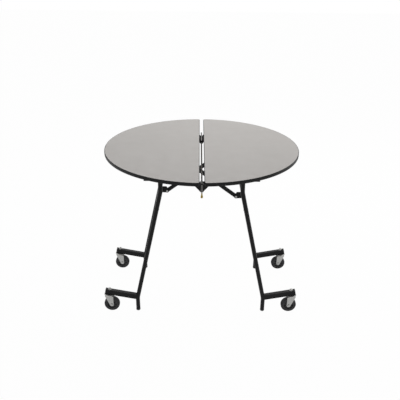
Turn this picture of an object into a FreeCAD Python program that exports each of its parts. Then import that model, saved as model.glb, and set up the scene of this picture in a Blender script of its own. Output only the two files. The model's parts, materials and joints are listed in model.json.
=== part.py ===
import FreeCAD, Part
import math
import os
from FreeCAD import Vector

# Folding mobile cafeteria table, standing height. Millimetres, +Z up, +X to the right,
# +Y away from the viewer, origin on the floor under the middle of the top.

# Top
TOP_DIAMETER = 1219.2
TOP_HEIGHT = 1066.8
CORE_THICK = 19.0
LAMINATE_THICK = 1.5
TOP_GAP = 27.0
CORNER_RADIUS = 14.0
BAND_WIDTH = 3.5
TONGUE_DEPTH = 8.0
TONGUE_THICK = 2.4

# Rails and hinge gussets
RAIL_SETBACK = 130.6
RAIL_OUTER_X = 323.0
RAIL_INNER_X = 17.0
RAIL_WIDTH = 30.0
RAIL_DEPTH = 17.0
RAIL_WALL = 2.5
FLANGE_WIDTH = 14.0
FLANGE_THICK = 3.0
HINGE_DROP = 58.3
BAR_DIAMETER = 9.5
BAR_FIT = 0.08
BAR_CLIP_GAP = 0.5
BAR_REAR_REACH = 213.0
BAR_CLIP_THICK = 2.0
BAR_CLIP_RADIUS = 8.5
GUSSET_THICK = 4.0
GUSSET_GAP = 0.4
GUSSET_SETBACK = 84.6
REAR_GUSSET_Y = 312.0
GUSSET_OUTER_X = 68.0
GUSSET_NOSE_X = 4.0
GUSSET_NOSE_DROP = 12.3
GUSSET_FLANGE_X = 80.0
GUSSET_FLANGE_Y = 26.0
GUSSET_EYE_RADIUS = 11.0

# Leg frames
TUBE_DIAMETER = 27.0
TUBE_WALL = 2.0
LEG_Y = 270.0
LEG_TOP_X = 249.0
PIVOT_DROP = 15.3
PIVOT_FIT = 0.08
PIVOT_TUBE_HALF = 332.0
BEARING_Y = 305.0
BEARING_WIDTH = 38.0
BEARING_WALL = 3.0
BEARING_FLANGE_HALF = 40.0
UPPER_BEND_DROP = 166.0
LOWER_BEND_Z = 99.0
FOOT_X = 417.0
BEND_RADIUS = 120.0
FOOT_GAP = 11.0
FOOT_LIP = 0.5
FOOT_ROUND = 4.0
FOOT_PLUG = 16.0
FOOT_PLUG_FIT = 0.1

# Fold links
LINK_Y = 43.0
LINK_WIDTH = 25.4
LINK_THICK = 6.0
LINK_BOLT_DIAMETER = 8.0
LINK_BOLT_FIT = 0.08
LINK_SIDE_GAP = 0.6
LINK_LOWER_DROP = 291.0
LINK_LOWER_X = 227.0
LINK_FAR_X = 112.2
LINK_FAR_DROP = 52.3
OPEN_SIDE_GAP = 1.0
EAR_THICK = 4.0
EAR_RADIUS = 13.0
EAR_ROOT_HEIGHT = 38.0
EAR_SHOULDER = 5.0
CROSS_RISE = 8.0
STUD_HEAD_WIDTH = 13.0
STUD_HEAD_THICK = 5.5
BRACKET_FLANGE_X = 30.0
BRACKET_FLANGE_Y = 32.0

# Caster arms
ARM_TILT_DEG = 11.0
ARM_WIDTH = 25.0
ARM_HEIGHT = 35.0
ARM_WALL = 2.0
ARM_OVERHANG = 23.0
CAP_THICK = 3.0
CAP_PLUG = 12.0
CAP_FIT = 0.1
SWIVEL_X = 604.5

# Casters
WHEEL_DIAMETER = 101.6
WHEEL_WIDTH = 31.75
WHEEL_FLOOR_GAP = 1.0
WHEEL_TOP_GAP = 8.7
TYRE_DEPTH = 14.0
TYRE_EDGE = 6.0
TRAIL = 31.8
CUP_HEIGHT = 7.0
CUP_RADIUS = 29.0
SWIVEL_GAP = 0.4
STEM_DIAMETER = 10.0
STEM_FIT = 0.08
STEM_HEAD_THICK = 3.0
STEM_HEAD_RADIUS = 9.0
STEM_NUT_WIDTH = 17.0
STEM_NUT_THICK = 9.0
STEM_TIP = 5.0
CROWN_THICK = 3.0
CROWN_BACK = 22.0
CROWN_FRONT = 32.0
FORK_PLATE = 2.5
FORK_SIDE_GAP = 2.4
FORK_EYE_RADIUS = 12.5
AXLE_DIAMETER = 9.5
AXLE_FIT = 0.08
AXLE_HEAD_WIDTH = 14.0
AXLE_HEAD_THICK = 5.0
HUB_WEB = 12.0
HUB_RIM = 5.0
HUB_BOSS_RADIUS = 13.0
HUB_SIDE_GAP = 0.5

# Release pull
PULL_STANDOFF = 14.5
STRAP_WIDTH = 11.0
STRAP_THICK = 4.0
STRAP_FIT = 0.2
STRAP_LOW = 4.0
NECK_DIAMETER = 5.0
PULL_REACH = 40.0
TIP_LENGTH = 30.0
TIP_RADIUS = 7.2
TIP_TOP_RADIUS = 3.8
TIP_ROUND = 4.5
COLLAR_WIDTH = 18.0
COLLAR_DEPTH = 8.0
COLLAR_THICK = 4.0
PULL_TRAVEL = 10.0
GUIDE_DROP = 12.3
GUIDE_THICK = 4.0
GUIDE_STANDOFF = 22.0
GUIDE_LEFT_X = 26.0
GUIDE_RIGHT_X = 11.0

# Screws
SCREW_RADIUS = 2.0
SCREW_GRIP = 11.0
SCREW_HEAD_RADIUS = 4.4
SCREW_HEAD_THICK = 2.6

# Heights and points that follow from the sizes above
RADIUS = TOP_DIAMETER / 2
RAIL_Y = RADIUS - RAIL_SETBACK
GUSSET_Y = RADIUS - GUSSET_SETBACK
PULL_Y = GUSSET_Y + PULL_STANDOFF
UNDERSIDE = TOP_HEIGHT - LAMINATE_THICK - CORE_THICK
RAIL_FLOOR = UNDERSIDE - RAIL_DEPTH
HINGE_Z = UNDERSIDE - HINGE_DROP
PULL_BOTTOM_Z = HINGE_Z - PULL_REACH
PIVOT_Z = UNDERSIDE - PIVOT_DROP
BEND_Z = PIVOT_Z - UPPER_BEND_DROP
LINK_LOWER_Z = PIVOT_Z - LINK_LOWER_DROP
LINK_FAR_Z = UNDERSIDE - LINK_FAR_DROP
TUBE_RADIUS = TUBE_DIAMETER / 2
BAR_RADIUS = BAR_DIAMETER / 2
LINK_BOLT_RADIUS = LINK_BOLT_DIAMETER / 2
STEM_RADIUS = STEM_DIAMETER / 2
AXLE_RADIUS = AXLE_DIAMETER / 2
WHEEL_RADIUS = WHEEL_DIAMETER / 2
ARM_TILT = math.radians(ARM_TILT_DEG)
SPLAY = math.atan2(FOOT_X - LEG_TOP_X, BEND_Z - LOWER_BEND_Z)
CROSS_Z = LINK_LOWER_Z + CROSS_RISE
CROSS_X = LEG_TOP_X + (BEND_Z - CROSS_Z) * math.tan(SPLAY)
CUP_LOW = -ARM_HEIGHT / 2 - CUP_HEIGHT
CROWN_TOP = CUP_LOW - SWIVEL_GAP
CROWN_LOW = CROWN_TOP - CROWN_THICK
AXLE_DROP = -CROWN_LOW + WHEEL_TOP_GAP + WHEEL_RADIUS
SWIVEL_Z = (WHEEL_FLOOR_GAP + WHEEL_RADIUS + TRAIL * math.sin(ARM_TILT)
            + AXLE_DROP * math.cos(ARM_TILT))

ORIGIN = Vector(0, 0, 0)
AXIS_X = Vector(1, 0, 0)
AXIS_Y = Vector(0, 1, 0)
AXIS_Z = Vector(0, 0, 1)


def box(x0, x1, y0, y1, z0, z1):
    """Box between two corners."""
    return Part.makeBox(x1 - x0, y1 - y0, z1 - z0, Vector(x0, y0, z0))


def rod_y(radius, x, z, y0, y1):
    """Round bar along Y."""
    return Part.makeCylinder(radius, y1 - y0, Vector(x, y0, z), AXIS_Y)


def rod_z(radius, x, y, z0, z1):
    """Round bar along Z."""
    return Part.makeCylinder(radius, z1 - z0, Vector(x, y, z0), AXIS_Z)


def plate_xz(points, y0, y1):
    """Flat plate cut to an outline in X and Z."""
    corners = [Vector(x, y0, z) for x, z in points]
    outline = Part.makePolygon(corners + corners[:1])
    return Part.Face(outline).extrude(Vector(0, y1 - y0, 0))


def hexagon(width, height, base, direction):
    """Hexagon head standing on a base point."""
    corner = width / math.sqrt(3)
    points = [Vector(corner * math.cos(k * math.pi / 3), corner * math.sin(k * math.pi / 3), 0)
              for k in range(7)]
    head = Part.Face(Part.makePolygon(points)).extrude(Vector(0, 0, height))
    head.Placement = FreeCAD.Placement(base, FreeCAD.Rotation(AXIS_Z, direction))
    return head


def joined(shapes):
    """One clean solid out of touching shapes."""
    return shapes[0].multiFuse(shapes[1:]).removeSplitter()


def group(shapes):
    """Several separate solids kept as one piece."""
    return Part.Compound(shapes)


def turned(shape):
    """The same piece for the other half, half a turn round the middle."""
    copy = shape.copy()
    copy.rotate(ORIGIN, AXIS_Z, 180)
    return copy


def half_slab(radius, inset, corner, low, high):
    """Left half of a round slab with rounded corners at the gap."""
    disc = Part.makeCylinder(radius, high - low, Vector(0, 0, low))
    slab = disc.common(box(-2 * radius, -inset, -2 * radius, 2 * radius, low, high))
    uprights = [edge for edge in slab.Edges if is_gap_corner(edge, inset)]
    return slab.makeFillet(corner, uprights)


def is_gap_corner(edge, inset):
    """True for an upright edge at the gap."""
    ends = [vertex.Point for vertex in edge.Vertexes]
    if len(ends) != 2 or abs(ends[0].z - ends[1].z) < 0.01:
        return False
    return all(abs(end.x + inset) < 0.01 for end in ends)


def inner_slab(extra, low, high):
    """Slab inside the edge band, shrunk by an extra amount."""
    step = BAND_WIDTH + extra
    corner = max(CORNER_RADIUS - step, 1.0)
    return half_slab(RADIUS - step, TOP_GAP / 2 + step, corner, low, high)


def tongue():
    """Tongue of the edge band, inside the core."""
    middle = UNDERSIDE + CORE_THICK / 2
    low = middle - TONGUE_THICK / 2
    high = middle + TONGUE_THICK / 2
    return inner_slab(0, low, high).cut(inner_slab(TONGUE_DEPTH, low, high))


def top_core(shanks):
    """Board of the left half with the tongue groove and the screw holes."""
    board = inner_slab(0, UNDERSIDE, UNDERSIDE + CORE_THICK)
    return board.cut(tongue()).cut(shanks)


def laminate():
    """Sheet on top of the left half."""
    return inner_slab(0, UNDERSIDE + CORE_THICK, TOP_HEIGHT)


def edge_band():
    """Moulding round the left half."""
    whole = half_slab(RADIUS, TOP_GAP / 2, CORNER_RADIUS, UNDERSIDE, TOP_HEIGHT)
    rim = whole.cut(inner_slab(0, UNDERSIDE, TOP_HEIGHT))
    return joined([rim, tongue()])


def rail_body(y):
    """Hat section rail under the left half, at one Y."""
    half = RAIL_WIDTH / 2
    ends = (-RAIL_OUTER_X, -RAIL_INNER_X)
    hat = box(*ends, y - half, y + half, RAIL_FLOOR, UNDERSIDE)
    hollow = box(*ends, y - half + RAIL_WALL, y + half - RAIL_WALL, RAIL_FLOOR + RAIL_WALL, UNDERSIDE)
    low = UNDERSIDE - FLANGE_THICK
    near = box(*ends, y - half - FLANGE_WIDTH, y - half, low, UNDERSIDE)
    far = box(*ends, y + half, y + half + FLANGE_WIDTH, low, UNDERSIDE)
    return joined([hat.cut(hollow), near, far])


def gusset_places(end):
    """First face and flange side of each gusset of the left half, the front one at one end."""
    back = GUSSET_GAP / 2 + GUSSET_THICK
    return [(end * GUSSET_Y - back, end), (-end * REAR_GUSSET_Y - back, end)]


def gusset(y, side, shanks):
    """Hinge gusset of the left half with its first face at one Y and its flange to one side."""
    reach = GUSSET_EYE_RADIUS * math.sqrt(0.5)
    outline = [(-GUSSET_OUTER_X, UNDERSIDE), (-RAIL_INNER_X, UNDERSIDE),
               (-GUSSET_NOSE_X, UNDERSIDE - GUSSET_NOSE_DROP), (-GUSSET_NOSE_X, HINGE_Z),
               (-reach, HINGE_Z - reach)]
    plate = plate_xz(outline, y, y + GUSSET_THICK)
    eye = rod_y(GUSSET_EYE_RADIUS, 0, HINGE_Z, y, y + GUSSET_THICK)
    start = y if side > 0 else y + GUSSET_THICK
    sides = sorted((start, start + side * GUSSET_FLANGE_Y))
    flange = box(-GUSSET_FLANGE_X, -RAIL_INNER_X, *sides, UNDERSIDE - FLANGE_THICK, UNDERSIDE)
    bore = rod_y(BAR_RADIUS + BAR_FIT, 0, HINGE_Z, y - 1, y + GUSSET_THICK + 1)
    return joined([plate, eye, flange]).cut(bore).cut(shanks)


def rail(y, shanks):
    """Rail of the left half, bored for the screws."""
    return rail_body(y).cut(shanks)


def pivot_bearing(y, shanks):
    """Bearing block for the pivot tube of the left leg frame."""
    y0 = y - BEARING_WIDTH / 2
    y1 = y + BEARING_WIDTH / 2
    wall = TUBE_RADIUS + PIVOT_FIT + BEARING_WALL
    body = box(-LEG_TOP_X - wall, -LEG_TOP_X + wall, y0, y1, PIVOT_Z, UNDERSIDE)
    shell = rod_y(wall, -LEG_TOP_X, PIVOT_Z, y0, y1).cut(body)
    shell = shell.cut(box(-2 * LEG_TOP_X, 0, y0, y1, UNDERSIDE, UNDERSIDE + wall))
    flange = box(-LEG_TOP_X - BEARING_FLANGE_HALF, -LEG_TOP_X + BEARING_FLANGE_HALF, y0, y1,
                 UNDERSIDE - FLANGE_THICK, UNDERSIDE)
    bore = rod_y(TUBE_RADIUS + PIVOT_FIT, -LEG_TOP_X, PIVOT_Z, y0 - 1, y1 + 1)
    return joined([body, shell, flange]).cut(bore).cut(shanks)


def link_bracket(shanks):
    """Bracket on the left half for the far end of the right link, with its two studs."""
    y = -LINK_Y
    pieces = [box(-LINK_FAR_X - BRACKET_FLANGE_X, -LINK_FAR_X + BRACKET_FLANGE_X,
                  y - BRACKET_FLANGE_Y, y + BRACKET_FLANGE_Y, UNDERSIDE - FLANGE_THICK, UNDERSIDE)]
    inside = LINK_THICK / 2 + OPEN_SIDE_GAP
    for side in (-1, 1):
        near = min(side * inside, side * (inside + EAR_THICK)) + y
        pieces.append(box(-LINK_FAR_X - EAR_RADIUS, -LINK_FAR_X + EAR_RADIUS, near, near + EAR_THICK,
                          LINK_FAR_Z, UNDERSIDE))
        pieces.append(rod_y(EAR_RADIUS, -LINK_FAR_X, LINK_FAR_Z, near, near + EAR_THICK))
        seat = Vector(-LINK_FAR_X, y + side * (inside + EAR_THICK), LINK_FAR_Z)
        pieces.append(hexagon(STUD_HEAD_WIDTH, STUD_HEAD_THICK, seat, Vector(0, side, 0)))
    return joined(pieces).cut(shanks)


def screw_spots(end):
    """X and Y of every screw under the left half, with its front gusset at one end."""
    inner = RAIL_INNER_X + SCREW_HEAD_RADIUS * 3.2
    outer = GUSSET_FLANGE_X - SCREW_HEAD_RADIUS * 1.5
    spots = []
    for face, side in gusset_places(end):
        middle = face + GUSSET_THICK / 2 + side * GUSSET_FLANGE_Y / 2
        spots += [(-inner, middle), (-outer, middle)]
    reach = (RAIL_WIDTH + FLANGE_WIDTH) / 2
    for y in (-RAIL_Y, RAIL_Y):
        for part in (0.08, 0.5, 0.94):
            x = -RAIL_INNER_X - part * (RAIL_OUTER_X - RAIL_INNER_X)
            spots += [(x, y - reach), (x, y + reach)]
    ear = (TUBE_RADIUS + BEARING_WALL + BEARING_FLANGE_HALF) / 2
    for y in (-BEARING_Y, BEARING_Y):
        spots += [(-LEG_TOP_X - ear, y), (-LEG_TOP_X + ear, y)]
    for dx in (-0.72, 0.72):
        for dy in (-0.72, 0.72):
            spots.append((-LINK_FAR_X + dx * BRACKET_FLANGE_X, -LINK_Y + dy * BRACKET_FLANGE_Y))
    return spots


def screw_shanks(end):
    """Shanks of all screws of the left half, with its front gusset at one end."""
    return group([rod_z(SCREW_RADIUS, x, y, UNDERSIDE - FLANGE_THICK, UNDERSIDE + SCREW_GRIP)
                  for x, y in screw_spots(end)])


def screws(end):
    """All screws of the left half, each a head and a shank, with its front gusset at one end."""
    done = []
    seat = UNDERSIDE - FLANGE_THICK
    for x, y in screw_spots(end):
        shank = rod_z(SCREW_RADIUS, x, y, seat - 1, UNDERSIDE + SCREW_GRIP)
        head = Part.makeCone(SCREW_HEAD_RADIUS * 0.7, SCREW_HEAD_RADIUS, SCREW_HEAD_THICK,
                             Vector(x, y, seat - SCREW_HEAD_THICK))
        done.append(joined([head, shank]))
    return group(done)


def torsion_bar():
    """Hinge bar along the gap with a clip at the front and behind the rear gussets."""
    y0 = -GUSSET_Y - GUSSET_GAP / 2 - GUSSET_THICK - BAR_CLIP_GAP
    bar = rod_y(BAR_RADIUS, 0, HINGE_Z, y0 - BAR_CLIP_THICK, REAR_GUSSET_Y + BAR_REAR_REACH)
    front = rod_y(BAR_CLIP_RADIUS, 0, HINGE_Z, y0 - BAR_CLIP_THICK, y0)
    back = REAR_GUSSET_Y + GUSSET_GAP / 2 + GUSSET_THICK + BAR_CLIP_GAP
    rear = rod_y(BAR_CLIP_RADIUS, 0, HINGE_Z, back, back + BAR_CLIP_THICK)
    return joined([bar, front, rear])


def release_guide():
    """Guide plate for the pull, welded to the front gusset of the left half."""
    face = -GUSSET_Y - GUSSET_GAP / 2 - GUSSET_THICK
    top = UNDERSIDE - GUIDE_DROP
    front = -GUSSET_Y - GUIDE_STANDOFF
    plate = box(-GUIDE_LEFT_X, GUIDE_RIGHT_X, front, face, top - GUIDE_THICK, top)
    half_x = STRAP_WIDTH / 2 + STRAP_FIT
    half_y = STRAP_THICK / 2 + STRAP_FIT
    slot = box(-half_x, half_x, -PULL_Y - half_y, -PULL_Y + half_y, top - 2 * GUIDE_THICK, top + 1)
    return plate.cut(slot)


def release_strap():
    """Flat strap of the pull with its stop at the top and its round neck below."""
    stop_low = UNDERSIDE - GUIDE_DROP + PULL_TRAVEL + 1
    top = stop_low + COLLAR_THICK
    low = HINGE_Z - STRAP_LOW
    strap = box(-STRAP_WIDTH / 2, STRAP_WIDTH / 2, -PULL_Y - STRAP_THICK / 2, -PULL_Y + STRAP_THICK / 2,
                low, top)
    stop = box(-COLLAR_WIDTH / 2, COLLAR_WIDTH / 2, -PULL_Y - COLLAR_DEPTH / 2,
               -PULL_Y + COLLAR_DEPTH / 2, stop_low, top)
    neck = rod_z(NECK_DIAMETER / 2, 0, -PULL_Y, PULL_BOTTOM_Z + TIP_LENGTH / 2, low)
    return joined([strap, stop, neck])


def release_tip():
    """Tapered grip on the lower end of the pull."""
    top = PULL_BOTTOM_Z + TIP_LENGTH
    body = Part.makeCone(TIP_RADIUS, TIP_TOP_RADIUS, TIP_LENGTH, Vector(0, -PULL_Y, PULL_BOTTOM_Z))
    rims = [edge for edge in body.Edges if edge.Closed and edge.BoundBox.ZMax < top - 1]
    body = body.makeFillet(TIP_ROUND, rims)
    return body.cut(rod_z(NECK_DIAMETER / 2, 0, -PULL_Y, PULL_BOTTOM_Z + TIP_LENGTH / 2, top + 1))


def bent_path(points, y):
    """Line through points in X and Z with every inner corner rounded."""
    spots = [Vector(x, y, z) for x, z in points]
    edges = []
    start = spots[0]
    for before, corner, after in zip(spots, spots[1:], spots[2:]):
        back = (before - corner).normalize()
        ahead = (after - corner).normalize()
        half = back.getAngle(ahead) / 2
        reach = BEND_RADIUS / math.tan(half)
        enter = corner + back * reach
        leave = corner + ahead * reach
        bisector = (back + ahead).normalize()
        centre = corner + bisector * (BEND_RADIUS / math.sin(half))
        middle = centre - bisector * BEND_RADIUS
        edges.append(Part.makeLine(start, enter))
        edges.append(Part.Arc(enter, middle, leave).toShape())
        start = leave
    edges.append(Part.makeLine(start, spots[-1]))
    return Part.Wire(edges)


def leg_bar(y, radius):
    """Solid bent bar in the shape of a left leg."""
    path = bent_path([(-LEG_TOP_X, PIVOT_Z), (-LEG_TOP_X, BEND_Z), (-FOOT_X, LOWER_BEND_Z),
                      (-FOOT_X, FOOT_GAP)], y)
    ring = Part.Wire(Part.makeCircle(radius, Vector(-LEG_TOP_X, y, PIVOT_Z), AXIS_Z))
    return path.makePipeShell([ring], True, False)


def leg(y):
    """Left leg tube, shaped round the pivot tube."""
    tube = leg_bar(y, TUBE_RADIUS).cut(leg_bar(y, TUBE_RADIUS - TUBE_WALL))
    return tube.cut(rod_y(TUBE_RADIUS, -LEG_TOP_X, PIVOT_Z, y - 50, y + 50))


def pivot_tube():
    """Tube that carries the left legs and turns in the bearings."""
    half = PIVOT_TUBE_HALF
    outer = rod_y(TUBE_RADIUS, -LEG_TOP_X, PIVOT_Z, -half, half)
    return outer.cut(rod_y(TUBE_RADIUS - TUBE_WALL, -LEG_TOP_X, PIVOT_Z, -half, half))


def link_ear(y0, y1):
    """One ear of the link clevis on the left cross tube."""
    half = EAR_ROOT_HEIGHT / 2
    tip = EAR_RADIUS * 0.97
    outline = [(-CROSS_X, CROSS_Z - half), (-CROSS_X + TUBE_RADIUS, CROSS_Z - half),
               (-LINK_LOWER_X, LINK_LOWER_Z - tip), (-LINK_LOWER_X + tip, LINK_LOWER_Z),
               (-LINK_LOWER_X - EAR_SHOULDER, CROSS_Z + half), (-CROSS_X, CROSS_Z + half)]
    ear = plate_xz(outline, y0, y1).fuse(rod_y(EAR_RADIUS, -LINK_LOWER_X, LINK_LOWER_Z, y0, y1))
    return ear.cut(rod_y(LINK_BOLT_RADIUS, -LINK_LOWER_X, LINK_LOWER_Z, y0, y1))


def cross_tube():
    """Tube between the left legs with the clevis for the left link."""
    outer = rod_y(TUBE_RADIUS, -CROSS_X, CROSS_Z, -LEG_Y, LEG_Y)
    hollow = rod_y(TUBE_RADIUS - TUBE_WALL, -CROSS_X, CROSS_Z, -LEG_Y, LEG_Y)
    inside = LINK_THICK / 2 + LINK_SIDE_GAP
    ears = [link_ear(LINK_Y - inside - EAR_THICK, LINK_Y - inside),
            link_ear(LINK_Y + inside, LINK_Y + inside + EAR_THICK)]
    whole = joined([outer] + ears).cut(hollow)
    for y in (-LEG_Y, LEG_Y):
        whole = whole.cut(leg_bar(y, TUBE_RADIUS))
    return whole


def link_bolt():
    """Bolt and nut of the lower end of the left link."""
    seat = LINK_THICK / 2 + LINK_SIDE_GAP + EAR_THICK
    shank = rod_y(LINK_BOLT_RADIUS, -LINK_LOWER_X, LINK_LOWER_Z, LINK_Y - seat, LINK_Y + seat)
    pieces = [shank]
    for side in (-1, 1):
        base = Vector(-LINK_LOWER_X, LINK_Y + side * seat, LINK_LOWER_Z)
        pieces.append(hexagon(STUD_HEAD_WIDTH, STUD_HEAD_THICK, base, Vector(0, side, 0)))
    return joined(pieces)


def link():
    """Flat bar from the left leg frame to the bracket on the right half."""
    y0 = LINK_Y - LINK_THICK / 2
    y1 = LINK_Y + LINK_THICK / 2
    run = Vector(LINK_FAR_X + LINK_LOWER_X, 0, LINK_FAR_Z - LINK_LOWER_Z)
    side = Vector(-run.z, 0, run.x).normalize() * (LINK_WIDTH / 2)
    low = Vector(-LINK_LOWER_X, 0, LINK_LOWER_Z)
    high = Vector(LINK_FAR_X, 0, LINK_FAR_Z)
    corners = [low + side, high + side, high - side, low - side]
    pieces = [plate_xz([(c.x, c.z) for c in corners], y0, y1)]
    holes = []
    for spot in (low, high):
        pieces.append(rod_y(LINK_WIDTH / 2, spot.x, spot.z, y0, y1))
        holes.append(rod_y(LINK_BOLT_RADIUS + LINK_BOLT_FIT, spot.x, spot.z, y0, y1))
    return joined(pieces).cut(group(holes))


def on_left_arm(shape, y):
    """Moves a piece drawn round an upright swivel axis to the left arm at one Y."""
    copy = shape.copy()
    copy.rotate(ORIGIN, AXIS_Y, -ARM_TILT_DEG)
    copy.translate(Vector(SWIVEL_X, y, SWIVEL_Z))
    return copy.mirror(ORIGIN, AXIS_X)


def caster_arm(y):
    """Left caster arm, shaped round the leg and bored for the stem."""
    inner = -(SWIVEL_X - FOOT_X) / math.cos(ARM_TILT)
    half_y = ARM_WIDTH / 2
    half_z = ARM_HEIGHT / 2
    tube = box(inner, ARM_OVERHANG, -half_y, half_y, -half_z, half_z)
    hollow = box(inner, ARM_OVERHANG, ARM_WALL - half_y, half_y - ARM_WALL,
                 ARM_WALL - half_z, half_z - ARM_WALL)
    tube = tube.cut(hollow).cut(rod_z(STEM_RADIUS, 0, 0, -half_z, half_z))
    return on_left_arm(tube, y).cut(leg_bar(y, TUBE_RADIUS))


def end_cap(y):
    """Plug in the outer end of a left caster arm."""
    half_y = ARM_WIDTH / 2
    half_z = ARM_HEIGHT / 2
    face = box(ARM_OVERHANG, ARM_OVERHANG + CAP_THICK, -half_y, half_y, -half_z, half_z)
    skin = ARM_WALL + CAP_FIT
    plug = box(ARM_OVERHANG - CAP_PLUG, ARM_OVERHANG, skin - half_y, half_y - skin,
               skin - half_z, half_z - skin)
    return on_left_arm(joined([face, plug]), y)


def foot(y):
    """Glide in the lower end of a left leg, rounded where it meets the floor."""
    pad = rod_z(TUBE_RADIUS + FOOT_LIP, -FOOT_X, y, 0, FOOT_GAP)
    rim = [edge for edge in pad.Edges if edge.Closed and edge.BoundBox.ZMax < 0.01]
    pad = pad.makeFillet(FOOT_ROUND, rim)
    plug = rod_z(TUBE_RADIUS - TUBE_WALL - FOOT_PLUG_FIT, -FOOT_X, y, FOOT_GAP, FOOT_GAP + FOOT_PLUG)
    return joined([pad, plug])


def caster_stem(y):
    """Stem bolt with nut and the bearing cup under a left arm."""
    top = ARM_HEIGHT / 2
    head_top = CROWN_LOW - SWIVEL_GAP
    shank = rod_z(STEM_RADIUS, 0, 0, head_top - STEM_HEAD_THICK, top + STEM_NUT_THICK + STEM_TIP)
    head = rod_z(STEM_HEAD_RADIUS, 0, 0, head_top - STEM_HEAD_THICK, head_top)
    nut = hexagon(STEM_NUT_WIDTH, STEM_NUT_THICK, Vector(0, 0, top), AXIS_Z)
    cup = Part.makeCone(CUP_RADIUS, CUP_RADIUS * 0.8, CUP_HEIGHT, Vector(0, 0, CUP_LOW))
    return on_left_arm(joined([shank, head, nut, cup]), y)


def fork_side(y0, y1):
    """One side plate of the fork, wide at the crown and round at the axle."""
    eye = FORK_EYE_RADIUS
    outline = [(-CROWN_FRONT, CROWN_TOP), (CROWN_BACK, CROWN_TOP), (CROWN_BACK, CROWN_LOW - CROWN_THICK),
               (-TRAIL + eye * 0.8, -AXLE_DROP - eye * 0.55), (-TRAIL - eye, -AXLE_DROP),
               (-TRAIL - eye, -AXLE_DROP + eye)]
    return plate_xz(outline, y0, y1).fuse(rod_y(eye, -TRAIL, -AXLE_DROP, y0, y1))


def fork_inside():
    """Half the width between the fork's side plates."""
    return WHEEL_WIDTH / 2 + FORK_SIDE_GAP


def fork(y):
    """Fork of a left caster: crown and two side plates."""
    inside = fork_inside()
    outside = inside + FORK_PLATE
    crown = box(-CROWN_FRONT, CROWN_BACK, -outside, outside, CROWN_LOW, CROWN_TOP)
    whole = joined([crown, fork_side(-outside, -inside), fork_side(inside, outside)])
    whole = whole.cut(rod_z(STEM_RADIUS + STEM_FIT, 0, 0, CROWN_LOW - 1, CROWN_TOP + 1))
    whole = whole.cut(rod_y(AXLE_RADIUS, -TRAIL, -AXLE_DROP, -outside - 1, outside + 1))
    return on_left_arm(whole, y)


def axle(y):
    """Axle bolt of a left caster."""
    outside = fork_inside() + FORK_PLATE
    pieces = [rod_y(AXLE_RADIUS, -TRAIL, -AXLE_DROP, -outside, outside)]
    for side in (-1, 1):
        base = Vector(-TRAIL, side * outside, -AXLE_DROP)
        pieces.append(hexagon(AXLE_HEAD_WIDTH, AXLE_HEAD_THICK, base, Vector(0, side, 0)))
    return on_left_arm(joined(pieces), y)


def wheel_rod(radius, half):
    """Round blank at the wheel's place."""
    return rod_y(radius, -TRAIL, -AXLE_DROP, -half, half)


def tyre(y):
    """Tyre of a left caster."""
    blank = wheel_rod(WHEEL_RADIUS, WHEEL_WIDTH / 2)
    rims = [edge for edge in blank.Edges if edge.Closed]
    blank = blank.makeFillet(TYRE_EDGE, rims)
    return on_left_arm(blank.cut(wheel_rod(WHEEL_RADIUS - TYRE_DEPTH, WHEEL_WIDTH)), y)


def hub(y):
    """Hub of a left caster: rim, thin web and boss."""
    outer = WHEEL_RADIUS - TYRE_DEPTH
    rim_half = WHEEL_WIDTH / 2 - 1
    rim = wheel_rod(outer, rim_half).cut(wheel_rod(outer - HUB_RIM, rim_half))
    web = wheel_rod(outer - HUB_RIM / 2, HUB_WEB / 2)
    boss = wheel_rod(HUB_BOSS_RADIUS, fork_inside() - HUB_SIDE_GAP)
    whole = joined([rim, web, boss])
    return on_left_arm(whole.cut(wheel_rod(AXLE_RADIUS + AXLE_FIT, WHEEL_WIDTH)), y)


def top_pieces(end):
    """Pieces of the left half of the top, with its front gusset at one end."""
    shanks = screw_shanks(end)
    leaves = [gusset(y, side, shanks) for y, side in gusset_places(end)]
    bearings = [pivot_bearing(y, shanks) for y in (-BEARING_Y, BEARING_Y)]
    return {
        "top_core": top_core(shanks),
        "laminate": laminate(),
        "edge_band": edge_band(),
        "front_rail": rail(-RAIL_Y, shanks),
        "rear_rail": rail(RAIL_Y, shanks),
        "hinge_leaves": group(leaves),
        "pivot_bearings": group(bearings),
        "link_bracket": link_bracket(shanks),
        "screws": screws(end),
    }


def frame_pieces():
    """Pieces of the left leg frame with its link and casters."""
    ends = (("front", -LEG_Y), ("rear", LEG_Y))
    pieces = {
        "pivot_tube": pivot_tube(),
        "cross_tube": cross_tube(),
        "link_bolt": link_bolt(),
        "link": link(),
        "end_caps": group([end_cap(y) for _, y in ends]),
        "feet": group([foot(y) for _, y in ends]),
        "caster_stems": group([caster_stem(y) for _, y in ends]),
    }
    for name, y in ends:
        pieces[name + "_leg"] = leg(y)
        pieces[name + "_arm"] = caster_arm(y)
        pieces[name + "_fork"] = fork(y)
        pieces[name + "_axle"] = axle(y)
        pieces[name + "_tyre"] = tyre(y)
        pieces[name + "_hub"] = hub(y)
    return pieces


def other_name(name):
    """Name of a piece after the half turn, where front and rear change places."""
    if name.startswith("front_"):
        return name.replace("front_", "rear_", 1)
    return name.replace("rear_", "front_", 1)


def all_pieces():
    """Every piece of the table by name."""
    pieces = {"torsion_bar": torsion_bar(), "release_guide": release_guide(),
              "release_strap": release_strap(), "release_tip": release_tip()}
    left = top_pieces(-1)
    right = top_pieces(1)
    frame = frame_pieces()
    left.update(frame)
    right.update(frame)
    pieces.update({"left_" + name: shape for name, shape in left.items()})
    pieces.update({"right_" + other_name(name): turned(shape) for name, shape in right.items()})
    return pieces


os.makedirs("parts", exist_ok=True)
for piece_name, piece in sorted(all_pieces().items()):
    piece.exportStep(os.path.join("parts", piece_name + ".step"))
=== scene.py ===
import json
import logging
import math
from dataclasses import dataclass
from enum import Enum
from typing import Callable, Iterable, Sequence

import bmesh
import bpy
from mathutils import Matrix, Vector


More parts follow.
